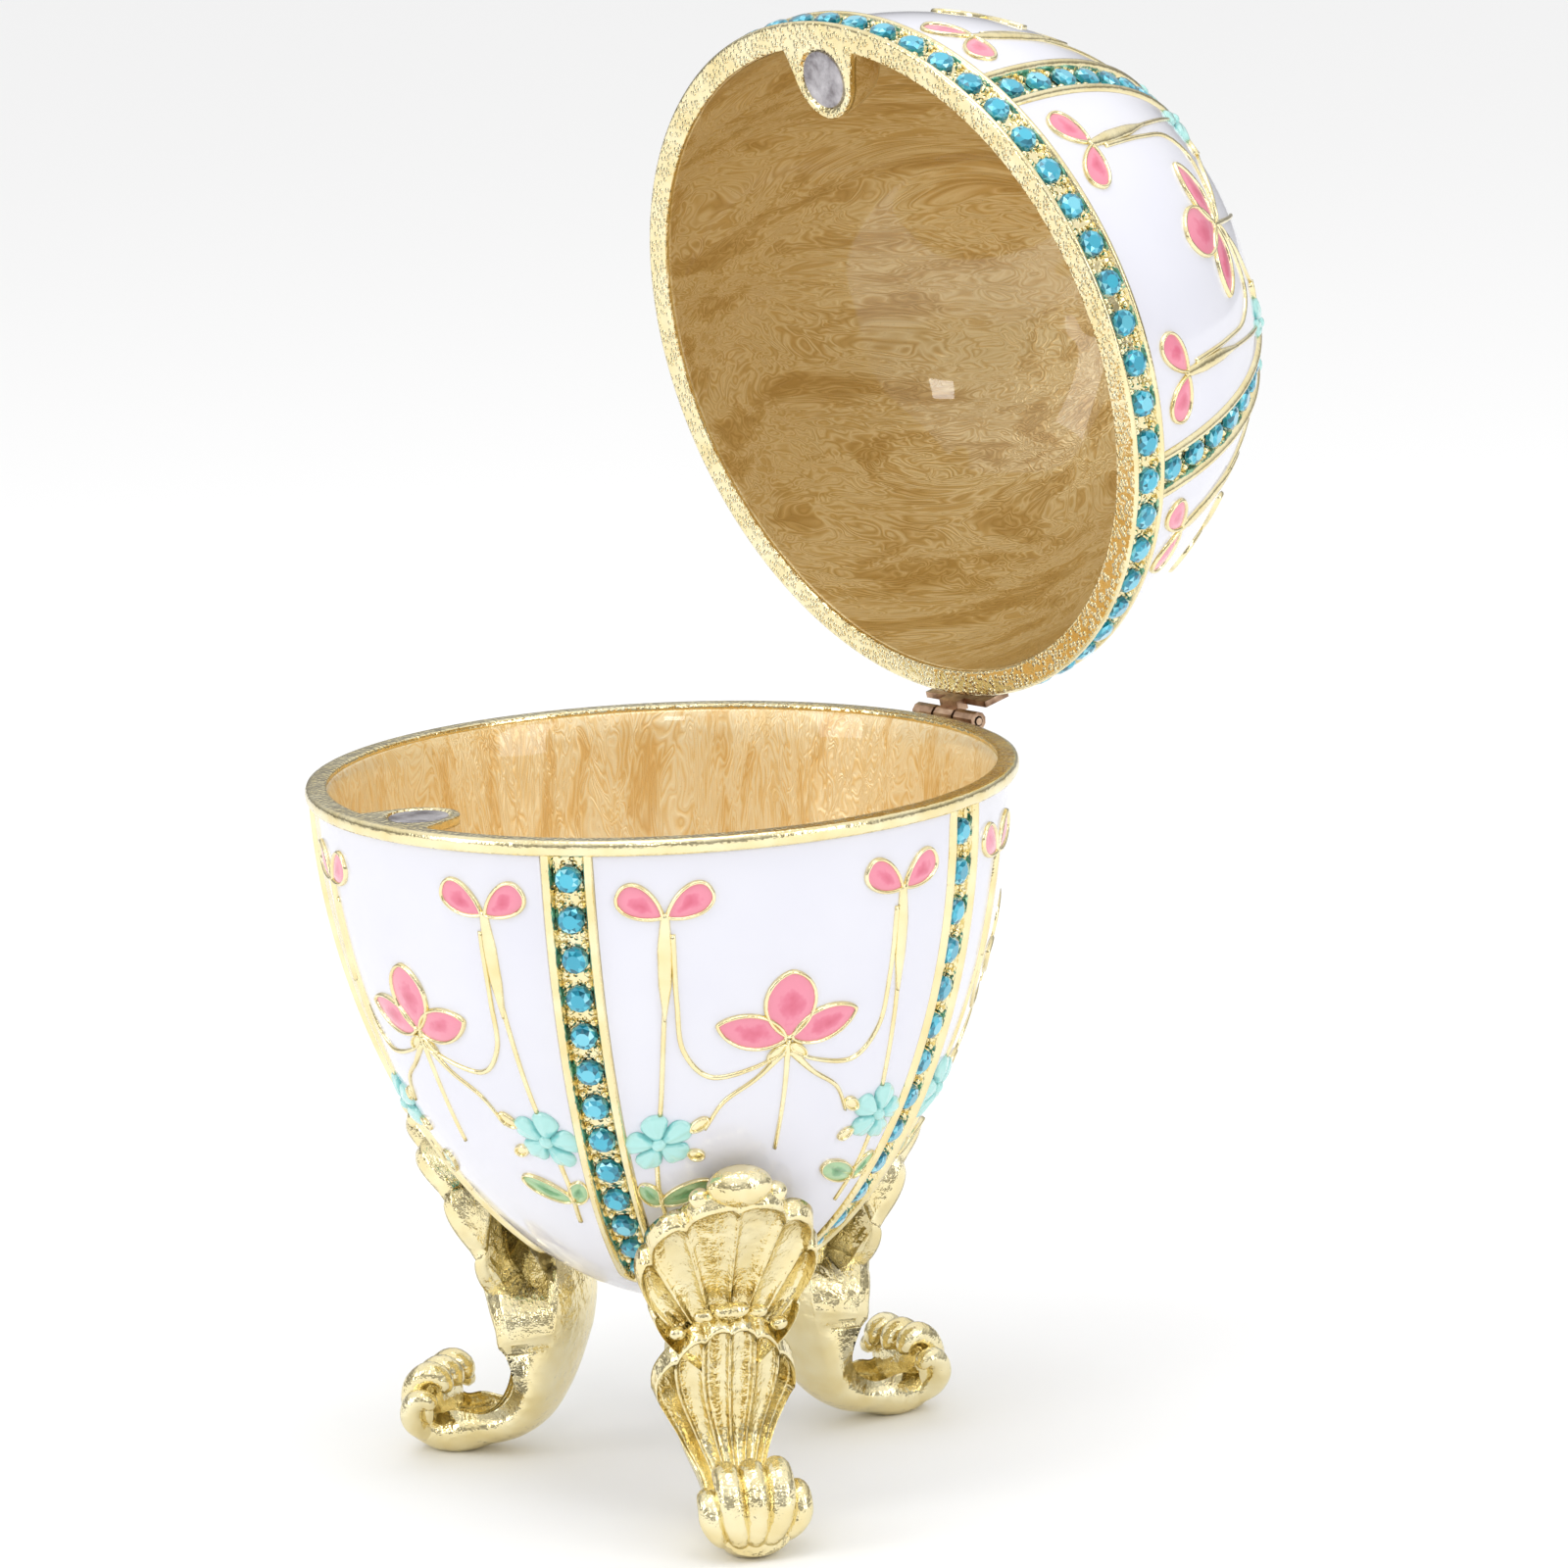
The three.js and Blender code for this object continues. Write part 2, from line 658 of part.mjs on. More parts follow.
const shut = new THREE.Group();
shut.position.set(0, -HINGE_Y, -HINGE_Z);
lid.add(shut);

const lidParts = new THREE.Group();
lidParts.position.z = RIM_GAP;
shut.add(lidParts);
lidParts.add(piece("lid_shell", lidShell, ENAMEL));
lidParts.add(piece("lid_rim_stones", rimStones(), STONE));
RIB_ANGLES.forEach((_, i) => {
  const stones = ribStones(lidOutline, i, LID_ROW_START, LID_RIB_STONES);
  lidParts.add(piece(`lid_stones_${i + 1}`, stones, STONE));
});
lidParts.add(piece("lid_magnet", magnetDisc(1, MAGNET_RADIUS, 0.05, MAGNET_THICKNESS), STEEL));
shut.add(piece("hinge_leaf_lid", lidLeaf, BRASS));

export default box;
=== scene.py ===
import json
import bpy
import numpy as np
from mathutils import Matrix, Vector


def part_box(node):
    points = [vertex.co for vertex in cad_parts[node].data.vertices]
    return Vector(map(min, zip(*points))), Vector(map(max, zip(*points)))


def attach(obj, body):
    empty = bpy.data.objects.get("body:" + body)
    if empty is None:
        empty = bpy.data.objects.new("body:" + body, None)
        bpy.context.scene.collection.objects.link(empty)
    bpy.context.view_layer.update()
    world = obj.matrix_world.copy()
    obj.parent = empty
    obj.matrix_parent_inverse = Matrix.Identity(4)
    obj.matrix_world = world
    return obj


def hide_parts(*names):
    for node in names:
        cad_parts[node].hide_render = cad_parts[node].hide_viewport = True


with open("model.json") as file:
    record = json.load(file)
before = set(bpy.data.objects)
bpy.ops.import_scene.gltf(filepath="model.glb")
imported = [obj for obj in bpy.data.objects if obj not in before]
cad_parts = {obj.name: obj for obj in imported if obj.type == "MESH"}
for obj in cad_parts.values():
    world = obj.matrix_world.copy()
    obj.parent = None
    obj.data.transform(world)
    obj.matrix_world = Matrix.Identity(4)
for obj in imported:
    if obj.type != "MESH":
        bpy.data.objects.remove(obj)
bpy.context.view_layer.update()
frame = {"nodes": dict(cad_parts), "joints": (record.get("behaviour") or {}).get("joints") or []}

# ---- the table it stands on, the lamps and the camera ------------------------------------------
# The box stands on a plain pale table in a white room. Broad soft lamps hang above and to both
# sides, and the camera looks from a little above, a long way off with a long lens.

view_turn, view_rise, view_roll = np.radians((50.5, 11.38, -2.38))
back = np.array([np.sin(view_turn) * np.cos(view_rise),
                 -np.cos(view_turn) * np.cos(view_rise), np.sin(view_rise)])
level = np.array([np.cos(view_turn), np.sin(view_turn), 0])
rise = np.cross(back, level)
across = np.cos(view_roll) * level + np.sin(view_roll) * rise
upward = -np.sin(view_roll) * level + np.cos(view_roll) * rise

lens = bpy.data.cameras.new("camera")
lens.lens = 131.2
lens.sensor_width = 36
lens.clip_start = 0.05
lens.clip_end = 20
camera = bpy.data.objects.new("camera", lens)
placed = Matrix.Identity(4)
for i, axis in enumerate((across, upward, back, (0.3700, -0.3071, 0.1546))):
    for j in range(3):
        placed[j][i] = axis[j]
camera.matrix_world = placed
bpy.context.scene.collection.objects.link(camera)
bpy.context.scene.camera = camera


def softbox(name, place, aim, width, height, power):
    """A broad rectangular lamp at `place` that faces `aim`; lengths in metres."""
    lamp = bpy.data.lights.new(name, "AREA")
    lamp.shape = "RECTANGLE"
    lamp.size, lamp.size_y, lamp.energy = width, height, power
    holder = bpy.data.objects.new(name, lamp)
    holder.rotation_euler = (Vector(aim) - Vector(place)).to_track_quat("-Z", "Y").to_euler()
    holder.location = place
    bpy.context.scene.collection.objects.link(holder)


softbox("lamp_above", (0.12, -0.10, 0.80), (0, 0, 0.06), 0.50, 0.50, 1.5)
softbox("lamp_left", (-0.22, -0.72, 0.34), (0, 0, 0.07), 0.30, 0.50, 1.3)
softbox("lamp_right", (0.74, 0.16, 0.30), (0, 0, 0.07), 0.26, 0.50, 1.1)
softbox("lamp_front", (0.60, -0.60, 0.46), (0, 0, 0.07), 0.12, 0.12, 0.32)

room = bpy.data.worlds.new("white_room")
room.use_nodes = True
bpy.context.scene.world = room
nodes, links = room.node_tree.nodes, room.node_tree.links
way_out = nodes.new("ShaderNodeSeparateXYZ")
walls = nodes.new("ShaderNodeValToRGB")
for k, (height, grey) in enumerate(((0.0, 0.36), (0.10, 0.24), (0.28, 0.52), (0.60, 1.02), (1.0, 1.12))):
    stop = walls.color_ramp.elements[k] if k < 2 else walls.color_ramp.elements.new(height)
    stop.position = height
    stop.color = (grey, grey, grey, 1)
links.new(nodes.new("ShaderNodeTexCoord").outputs["Generated"], way_out.inputs["Vector"])
links.new(way_out.outputs["Z"], walls.inputs["Fac"])
links.new(walls.outputs["Color"], nodes["Background"].inputs["Color"])
bpy.context.scene.view_settings.view_transform = "Standard"

table_top = bpy.data.meshes.new("table")
table_top.from_pydata([(-3, -3, 0), (3, -3, 0), (3, 3, 0), (-3, 3, 0)], [], [(0, 1, 2, 3)])
table = bpy.data.objects.new("table", table_top)
bpy.context.scene.collection.objects.link(table)
table_paint = bpy.data.materials.new("table_paint")
table_paint.use_nodes = True
table_shader = table_paint.node_tree.nodes["Principled BSDF"]
table_shader.inputs["Base Color"].default_value = (0.96, 0.96, 0.96, 1)
table_shader.inputs["Roughness"].default_value = 0.7
table_shader.inputs["Specular IOR Level"].default_value = 0.2
table_top.materials.append(table_paint)

# ---- the egg's white enamel ---------------------------------------------------------------------
# The egg is cast in zinc alloy in two halves, each a body of revolution a little fuller than an
# ellipse. The five panels between its gold ribs are filled with white enamel, fired smooth and
# polished, which climbs a little where it meets a gold edge.

MM = 0.001
bowl_low, bowl_high = (np.array(corner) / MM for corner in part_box("bowl_shell"))
BAND_R = 30.0
RIM_Z = bowl_high[2]
AXIS_Y = bowl_low[1] + BAND_R
EGG_AXIS = np.array([0.0, AXIS_Y, RIM_Z])
BOWL_R, BOWL_DEPTH = BAND_R - 0.8, RIM_Z - bowl_low[2]
LID_R, LID_HEIGHT = BAND_R - 0.5, 33.8
RIM_GAP = 0.25

hinge = frame["joints"][0]
HINGE = np.array(hinge["pos_m"]) / MM - EGG_AXIS
OPEN = np.radians(hinge["range_deg"][1])

RIB_ANGLES = np.radians(90 + 72 * np.arange(5))
PANEL_ANGLES = RIB_ANGLES + np.radians(36)
RIB_HALF = 2.2
STONE_PITCH = 3.42
BOWL_ROW_COUNTS = np.array([7, 13, 13, 13, 13])
BOWL_ROW_START = 1.6
BOWL_RIB_ENDS = BOWL_ROW_START + BOWL_ROW_COUNTS * STONE_PITCH + 0.4


def egg_outline(radius, height, power_z, power_r, way):
    """Half an egg from its rim to its tip: r = radius * cos(a)^(2 / power_r) and
    z = way * height * sin(a)^(2 / power_z) for a from 0 to 90 degrees, kept with the length s
    run along the curve and the unit direction (nr, nz) square to it at each point."""
    a = np.linspace(0, np.pi / 2, 4000)
    r = radius * np.cos(a).clip(0) ** (2 / power_r)
    z = way * height * np.sin(a) ** (2 / power_z)
    s = np.concatenate([[0], np.cumsum(np.hypot(np.diff(r), np.diff(z)))])
    dr, dz = np.gradient(r, s), np.gradient(z, s)
    size = np.hypot(dr, dz)
    return {"s": s, "r": r, "z": z, "nr": way * dz / size, "nz": -way * dr / size}


bowl_egg = egg_outline(BOWL_R, BOWL_DEPTH, 1.87, 1.89, -1)
lid_egg = egg_outline(LID_R, LID_HEIGHT, 2.12, 2.0, 1)


def on_egg(egg, centre, x, s, lift=0.0):
    """Points `s` along the egg's outline from the rim, `x` round it from the meridian at angle
    `centre`, and `lift` out from its surface."""
    r, z, nr, nz = (np.interp(s, egg["s"], egg[key]) for key in ("r", "z", "nr", "nz"))
    turn = centre + x / np.maximum(r, 0.5)
    reach = r + lift * nr
    return np.stack(np.broadcast_arrays(reach * np.cos(turn), reach * np.sin(turn), z + lift * nz), -1)


def in_bowl(points):
    """From the egg's own axes to the place of the bowl."""
    return points + EGG_AXIS


def in_lid(points):
    """From the egg's own axes to the open lid: up by the rim gap, then swung about the hinge."""
    p = points + (0, 0, RIM_GAP) - HINGE
    c, s = np.cos(OPEN), np.sin(OPEN)
    swung = np.stack([p[..., 0], c * p[..., 1] + s * p[..., 2], c * p[..., 2] - s * p[..., 1]], -1)
    return swung + HINGE + EGG_AXIS


def quads(rows, columns, closed=True):
    """Faces between neighbouring points of a grid; `closed` joins its last column to its first."""
    i = np.arange(rows - 1)[:, None] * columns
    j = np.arange(columns if closed else columns - 1)
    k = (j + 1) % columns
    return np.stack([i + j, i + k, i + columns + k, i + columns + j], -1).reshape(-1, 4)


def facing_out(points, faces):
    """The faces of a closed body, turned over where their signed volume comes out negative."""
    volume = 0.0
    for face in faces:
        for k in range(1, face.shape[1] - 1):
            a, b, c = points[face[:, 0]], points[face[:, k]], points[face[:, k + 1]]
            volume += np.einsum("ij,ij->", a, np.cross(b, c))
    return faces if volume > 0 else [face[:, ::-1] for face in faces]


def through_rings(rings):
    """A closed body through rings of points (rows, columns, 3), with a fan over each end."""
    rows, columns = rings.shape[:2]
    points = np.concatenate([rings.reshape(-1, 3), rings[:1].mean(1), rings[-1:].mean(1)])
    j = np.arange(columns)
    k = (j + 1) % columns
    last, hub = (rows - 1) * columns, rows * columns
    start = np.stack([np.full(columns, hub), k, j], -1)
    end = np.stack([np.full(columns, hub + 1), last + j, last + k], -1)
    return points, facing_out(points, [quads(rows, columns), np.concatenate([start, end])])


def build(name, parts, place, body, material, smooth=True):
    """One mesh object made of closed parts. A part is (points, faces) and, where the material
    reads it, a `shade` number for each point. `place` carries millimetres to the row frame."""
    points, corners, sizes, shades, first = [], [], [], [], 0
    for part in parts:
        points.append(place(part[0]))
        shades.append(np.broadcast_to(part[2] if len(part) > 2 else 0.0, len(part[0])))
        for face in part[1]:
            corners.append((face + first).ravel())
            sizes.append(np.full(len(face), face.shape[1]))
        first += len(part[0])
    points, corners, sizes = np.concatenate(points) * MM, np.concatenate(corners), np.concatenate(sizes)
    mesh = bpy.data.meshes.new(name)
    mesh.vertices.add(len(points))
    mesh.vertices.foreach_set("co", points.ravel())
    mesh.loops.add(len(corners))
    mesh.loops.foreach_set("vertex_index", corners)
    mesh.polygons.add(len(sizes))
    mesh.polygons.foreach_set("loop_start", np.concatenate([[0], np.cumsum(sizes)[:-1]]))
    mesh.polygons.foreach_set("use_smooth", np.full(len(sizes), smooth))
    mesh.update(calc_edges=True)
    mesh.attributes.new("shade", "FLOAT", "POINT").data.foreach_set("value", np.concatenate(shades))
    mesh.materials.append(material)
    made = bpy.data.objects.new(name, mesh)
    bpy.context.scene.collection.objects.link(made)
    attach(made, body)
    return made


def paint(name):
    """A new material; returns it with its nodes, its links and its Principled shader."""
    material = bpy.data.materials.new(name)
    material.use_nodes = True
    nodes = material.node_tree.nodes
    return material, nodes, material.node_tree.links, nodes["Principled BSDF"]


def ramp(nodes, *stops):
    """A colour ramp node with its (place, colour) stops."""
    node = nodes.new("ShaderNodeValToRGB")
    band = node.color_ramp.elements
    for k, (place, colour) in enumerate(stops):
        stop = band[k] if k < 2 else band.new(place)
        stop.position = place
        stop.color = (*colour, 1)
    return node


def noise(nodes, links, where, scale, detail=2.0, roughness=0.5, distortion=0.0):
    """A noise texture read at the coordinates that the socket `where` gives."""
    node = nodes.new("ShaderNodeTexNoise")
    for socket, value in (("Scale", scale), ("Detail", detail), ("Roughness", roughness),
                          ("Distortion", distortion)):
        node.inputs[socket].default_value = value
    links.new(where, node.inputs["Vector"])
    return node


def bumped(nodes, links, height, strength, distance, normal=None):
    """A bump node over the socket `height`, on top of the bumps in `normal` where given."""
    node = nodes.new("ShaderNodeBump")
    node.inputs["Strength"].default_value = strength
    node.inputs["Distance"].default_value = distance
    links.new(height, node.inputs["Height"])
    if normal:
        links.new(normal, node.inputs["Normal"])
    return node.outputs["Normal"]


def math_node(nodes, links, operation, *values):
    """A math node whose inputs are, in order, sockets to link or plain numbers."""
    node = nodes.new("ShaderNodeMath")
    node.operation = operation
    for socket, value in zip(node.inputs, values):
        if isinstance(value, bpy.types.NodeSocket):
            links.new(value, socket)
        else:
            socket.default_value = value
    return node.outputs[0]


def spread(nodes, links, value, low, high):
    """Maps the socket `value`, which runs from 0 to 1, onto the range from low to high."""
    node = nodes.new("ShaderNodeMapRange")
    node.inputs["To Min"].default_value = low
    node.inputs["To Max"].default_value = high
    links.new(value, node.inputs["Value"])
    return node.outputs["Result"]


white, nodes, links, shader = paint("white_enamel")
here = nodes.new("ShaderNodeTexCoord").outputs["Object"]
cloud = noise(nodes, links, here, 60.0, 3.0)
tint = ramp(nodes, (0.3, (0.75, 0.75, 0.83)), (0.7, (0.80, 0.80, 0.86)))
links.new(cloud.outputs["Fac"], tint.inputs["Fac"])
links.new(tint.outputs["Color"], shader.inputs["Base Color"])
roll = noise(nodes, links, here, 150.0, 1.0)
links.new(bumped(nodes, links, roll.outputs["Fac"], 0.25, 0.0003), shader.inputs["Normal"])
haze = noise(nodes, links, here, 500.0, 3.0)
links.new(spread(nodes, links, haze.outputs["Fac"], 0.05, 0.17), shader.inputs["Roughness"])
shader.inputs["Coat Weight"].default_value = 0.5
shader.inputs["Coat Roughness"].default_value = 0.03


def enamel_skin(egg, start, ends):
    """The outer skin of one half, 1 mm thick. Rings run from the rim to the tip and back inside.
    Beside a rib and at the rim it rises by 0.14 * exp(-distance / 0.6), and under a rib it
    sinks 0.9 mm, as far down as that rib's end."""
    s = np.linspace(start, egg["s"][-1] - 0.3, 110)[:, None]
    r = np.interp(s, egg["s"], egg["r"])
    reach = np.minimum(RIB_HALF / r, np.radians(18))
    share = (1 - np.cos(np.linspace(0, np.pi, 42))) / 2
    turns, lifts = [], []
    for rib_turn, end in zip(RIB_ANGLES, ends):
        ribbed = 1 / (1 + np.exp(((s - end) / 0.12).clip(-60, 60)))
        turns.append(rib_turn + reach * np.linspace(-0.88, 0.88, 6))
        lifts.append(-0.9 * ribbed * np.ones(6))
        width = np.radians(72) - 2 * reach
        turns.append(rib_turn + reach + width * share)
        edge = np.minimum(share, 1 - share) * width * r
        lifts.append(0.14 * np.exp(-edge / 0.6) * ribbed)
    turn, lift = np.concatenate(turns, 1), np.concatenate(lifts, 1)
    lift = lift + 0.14 * np.exp(-(s - start - 0.3).clip(0) / 0.6)
    outer = on_egg(egg, 0, turn * np.maximum(r, 0.5), s + 0 * turn, lift)
    inner = on_egg(egg, 0, turn * np.maximum(r, 0.5), s + 0 * turn, -1.02)
    return through_rings(np.concatenate([outer[::-1], inner[::8], inner[-1:]]))


bowl_enamel = build("bowl_enamel", [enamel_skin(bowl_egg, 1.0, BOWL_RIB_ENDS)],
                    in_bowl, "base", white)
lid_enamel = build("lid_enamel", [enamel_skin(lid_egg, 3.5, np.full(5, 99.0))],
                   in_lid, "lid", white)
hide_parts("bowl_shell")
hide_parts("lid_shell")

# ---- the lining ---------------------------------------------------------------------------------
# Inside, both halves are flooded with honey-coloured pearl enamel that was swirled while it was
# wet, under a thick clear coat. It stands against the inner wall and stops just under the rim.

MOUTH_R = 28.2
BOSS_R = 3.9
BOSS_DEPTH = 6.0
MAGNET_OUT = 25.4


def inner_reach(turn, depth, wall):
    """How far the inner wall stands from the egg's axis. Opposite the hinge the boss of the
    magnet swells out of it: a circle whose radius shrinks to nothing at BOSS_DEPTH, joined to
    the wall by a soft minimum, -k * log(exp(-wall / k) + exp(-boss / k)) with k = 0.35."""
    x = np.sin(turn + np.pi / 2) * MAGNET_OUT
    size = BOSS_R * np.sqrt((1 - (depth / BOSS_DEPTH) ** 2.2).clip(0)) - 0.45
    inside = (size ** 2 - x ** 2) * (np.cos(turn + np.pi / 2) > 0)
    edge = np.where((inside > 0) & (size > 0), MAGNET_OUT - np.sqrt(inside.clip(0)), 60.0)
    near = np.abs(x) - size.clip(0)
    edge = np.where((inside <= 0) & (np.cos(turn + np.pi / 2) > 0), MAGNET_OUT + 6.0 * near.clip(0), edge)
    k = 0.35
    return -k * np.log(np.exp(-(wall - 20) / k) + np.exp(-(edge.clip(0, 50) - 20) / k)) + 20


def round_turns(steps, near):
    """Angles round the egg with `near` extra ones packed about the magnet, opposite the hinge."""
    turns = np.concatenate([np.linspace(0, 2 * np.pi, steps, endpoint=False),
                            np.radians(np.linspace(-13, 13, near) + 270 + 0.01)])
    return np.sort(turns)


def lining_skin(egg, radius, wall):
    """A thin closed shell from 1 mm under the outline to `wall` under it; by the rim its inner
    face comes out to the mouth: lift = -wall + (wall - radius + mouth) * exp(-s / 1.3)."""
    s = np.concatenate([np.linspace(0.5, 7, 34), np.linspace(7.5, egg["s"][-1] - 0.3, 60)])[:, None]
    turn = round_turns(180, 60)[None, :]
    near_rim = np.exp(-(s - 0.5) / 1.3)
    lift = -wall + (wall - radius + MOUTH_R - 0.03) * near_rim
    lift = lift + 0.05 * (1 - near_rim) * (np.sin(7 * turn + 2) * np.sin(s / 3) + np.sin(11 * turn - s / 4))
    r = np.maximum(np.interp(s, egg["s"], egg["r"]), 0.5)
    inner = on_egg(egg, 0, turn * r, s + 0 * turn, lift)
    reach = np.hypot(inner[..., 0], inner[..., 1])
    inner[..., :2] *= (inner_reach(turn, np.abs(inner[..., 2]), reach) / reach)[..., None]
    outer = on_egg(egg, 0, turn * r, s + 0 * turn, -0.95)
    return through_rings(np.concatenate([inner[::-1], outer[::6], outer[-1:]]))


def shader_group(name, inlets, outlets):
    """A new node group with its (name, kind) sockets; returns it with its nodes, its links, and
    the two nodes that stand for its inputs and its outputs."""
    group = bpy.data.node_groups.new(name, "ShaderNodeTree")
    for way, sockets in (("INPUT", inlets), ("OUTPUT", outlets)):
        for socket, kind in sockets:
            group.interface.new_socket(socket, in_out=way, socket_type="NodeSocket" + kind)
    nodes = group.nodes
    return group, nodes, group.links, nodes.new("NodeGroupInput"), nodes.new("NodeGroupOutput")


def pearl_swirl():
    """A shader group: the place is pushed about by a coarse noise and again by a finer one, then
    a noise read there gives broad streaks, with thin bright veins where it crosses its middle."""
    group, nodes, links, inlet, outlet = shader_group(
        "pearl_swirl", [("Vector", "Vector")], [("Streak", "Float"), ("Vein", "Float")])
    place = inlet.outputs["Vector"]
    for scale, push in ((0.32, 3.2), (1.1, 0.7)):
        coarse = noise(nodes, links, place, scale, 1.0)
        centred = nodes.new("ShaderNodeVectorMath")
        centred.operation = "SUBTRACT"
        centred.inputs[1].default_value = (0.5, 0.5, 0.5)
        pushed = nodes.new("ShaderNodeVectorMath")
        pushed.operation = "MULTIPLY_ADD"
        pushed.inputs[1].default_value = (push, push, push)
        links.new(coarse.outputs["Color"], centred.inputs[0])
        links.new(centred.outputs[0], pushed.inputs[0])
        links.new(place, pushed.inputs[2])
        place = pushed.outputs[0]
    streak = noise(nodes, links, place, 1.0, 2.0, 0.45, 0.6)
    fine = noise(nodes, links, place, 3.1, 1.0, 0.4, 0.5)
    vein_half = 0.07
    ridge = math_node(nodes, links, "PINGPONG", fine.outputs["Fac"], vein_half)
    links.new(streak.outputs["Fac"], outlet.inputs["Streak"])
    links.new(math_node(nodes, links, "DIVIDE", ridge, vein_half), outlet.inputs["Vein"])
    return group


swirl = pearl_swirl()


def honey_enamel(name, turn, stretch, dark, mid, light):
    """Pearl enamel whose streaks are drawn out along one direction, found by turning the
    object's axes and stretching them."""
    material, nodes, links, shader = paint(name)
    here = nodes.new("ShaderNodeTexCoord").outputs["Object"]
    turned = nodes.new("ShaderNodeMapping")
    turned.vector_type = "TEXTURE"
    turned.inputs["Rotation"].default_value = turn
    drawn = nodes.new("ShaderNodeMapping")
    drawn.inputs["Scale"].default_value = stretch
    links.new(here, turned.inputs["Vector"])
    links.new(turned.outputs["Vector"], drawn.inputs["Vector"])
    stirred = nodes.new("ShaderNodeGroup")
    stirred.node_tree = swirl
    links.new(drawn.outputs["Vector"], stirred.inputs["Vector"])
    both = math_node(nodes, links, "MULTIPLY_ADD", stirred.outputs["Vein"], 0.22, stirred.outputs["Streak"])
    tone = ramp(nodes, (0.38, dark), (0.54, mid), (0.68, light), (0.80, mid))
    links.new(both, tone.inputs["Fac"])
    links.new(tone.outputs["Color"], shader.inputs["Base Color"])
    links.new(bumped(nodes, links, both, 0.25, 0.0006), shader.inputs["Normal"])
    flake = noise(nodes, links, here, 9000.0, 0.0)
    links.new(spread(nodes, links, flake.outputs["Fac"], 0.22, 0.50), shader.inputs["Roughness"])
    shader.inputs["Metallic"].default_value = 0.25
    shader.inputs["Coat Weight"].default_value = 1.0
    shader.inputs["Coat Roughness"].default_value = 0.02
    return material


bowl_honey = honey_enamel("bowl_honey", (0, 0, 0), (380, 380, 75),
                          (0.78, 0.50, 0.17), (0.88, 0.65, 0.30), (0.96, 0.82, 0.52))
# The lid's lining is the same honey enamel as the bowl's, given darker colours: painted shade over the lid's
# inside.
lid_honey_painted_shade = honey_enamel("lid_honey_painted_shade", (0, 0, np.radians(50)), (90, 330, 330),
                         (0.50, 0.31, 0.08), (0.63, 0.43, 0.15), (0.80, 0.64, 0.33))
build("bowl_lining", [lining_skin(bowl_egg, BOWL_R, 1.7)], in_bowl, "base", bowl_honey)
build("lid_lining", [lining_skin(lid_egg, LID_R, 1.25)], in_lid, "lid", lid_honey_painted_shade)

# ---- the gold rims, bands and ribs --------------------------------------------------------------
# The rims, the lid's channelled band and the ribs stand proud of the enamel and are plated pale
# gold over the cast metal. The rails are polished; the channels and rim faces keep the cast grain.


def gold_surface():
    """A shader group for plated castings: a soft unevenness whose depth is `Cast`, little round
    grains whose height is `Grain`, and the tone and roughness that go with them."""
    group, nodes, links, inlet, outlet = shader_group(
        "gold_surface", [("Vector", "Vector"), ("Grain", "Float"), ("Cast", "Float")],
        [("Color", "Color"), ("Roughness", "Float"), ("Normal", "Vector")])
    where = inlet.outputs["Vector"]
    plating = noise(nodes, links, where, 330.0, 2.0)
    tone = ramp(nodes, (0.3, (0.83, 0.70, 0.37)), (0.7, (0.92, 0.83, 0.54)))
    links.new(plating.outputs["Fac"], tone.inputs["Fac"])
    cast = noise(nodes, links, where, 750.0, 3.0, 0.6)
    depth = math_node(nodes, links, "MULTIPLY", cast.outputs["Fac"], inlet.outputs["Cast"])
    even = bumped(nodes, links, depth, 1.0, 0.0005)
    dots = nodes.new("ShaderNodeTexVoronoi")
    dots.inputs["Scale"].default_value = 2100.0
    dots.inputs["Randomness"].default_value = 0.8
    links.new(where, dots.inputs["Vector"])
    mound = nodes.new("ShaderNodeMapRange")
    mound.interpolation_type = "SMOOTHSTEP"
    mound.inputs["From Min"].default_value = 0.55
    mound.inputs["From Max"].default_value = 0.15
    links.new(dots.outputs["Distance"], mound.inputs["Value"])
    high = math_node(nodes, links, "MULTIPLY", mound.outputs["Result"], inlet.outputs["Grain"])
    links.new(tone.outputs["Color"], outlet.inputs["Color"])
    links.new(spread(nodes, links, plating.outputs["Fac"], 0.10, 0.26), outlet.inputs["Roughness"])
    links.new(bumped(nodes, links, high, 0.8, 0.00018, even), outlet.inputs["Normal"])
    return group


plated = gold_surface()


def gold(name, cast, grain=None):
    """Plated gold with a plain depth of casting marks; `grain` is a plain amount too, or None
    where the piece's own shade gives it."""
    material, nodes, links, shader = paint(name)
    surface = nodes.new("ShaderNodeGroup")
    surface.node_tree = plated
    surface.inputs["Cast"].default_value = cast
    links.new(nodes.new("ShaderNodeTexCoord").outputs["Object"], surface.inputs["Vector"])
    if grain is None:
        marked = nodes.new("ShaderNodeAttribute")
        marked.attribute_name = "shade"
        links.new(marked.outputs["Fac"], surface.inputs["Grain"])
    else:
        surface.inputs["Grain"].default_value = grain
    links.new(surface.outputs["Color"], shader.inputs["Base Color"])
    links.new(surface.outputs["Roughness"], shader.inputs["Roughness"])
    links.new(surface.outputs["Normal"], shader.inputs["Normal"])
    shader.inputs["Metallic"].default_value = 1.0
    return material


trim_gold = gold("trim_gold", 0.25)
MAGNET_POCKET = 2.68
RAIL_HEIGHT = 0.55
CHANNEL_DEPTH = 0.45


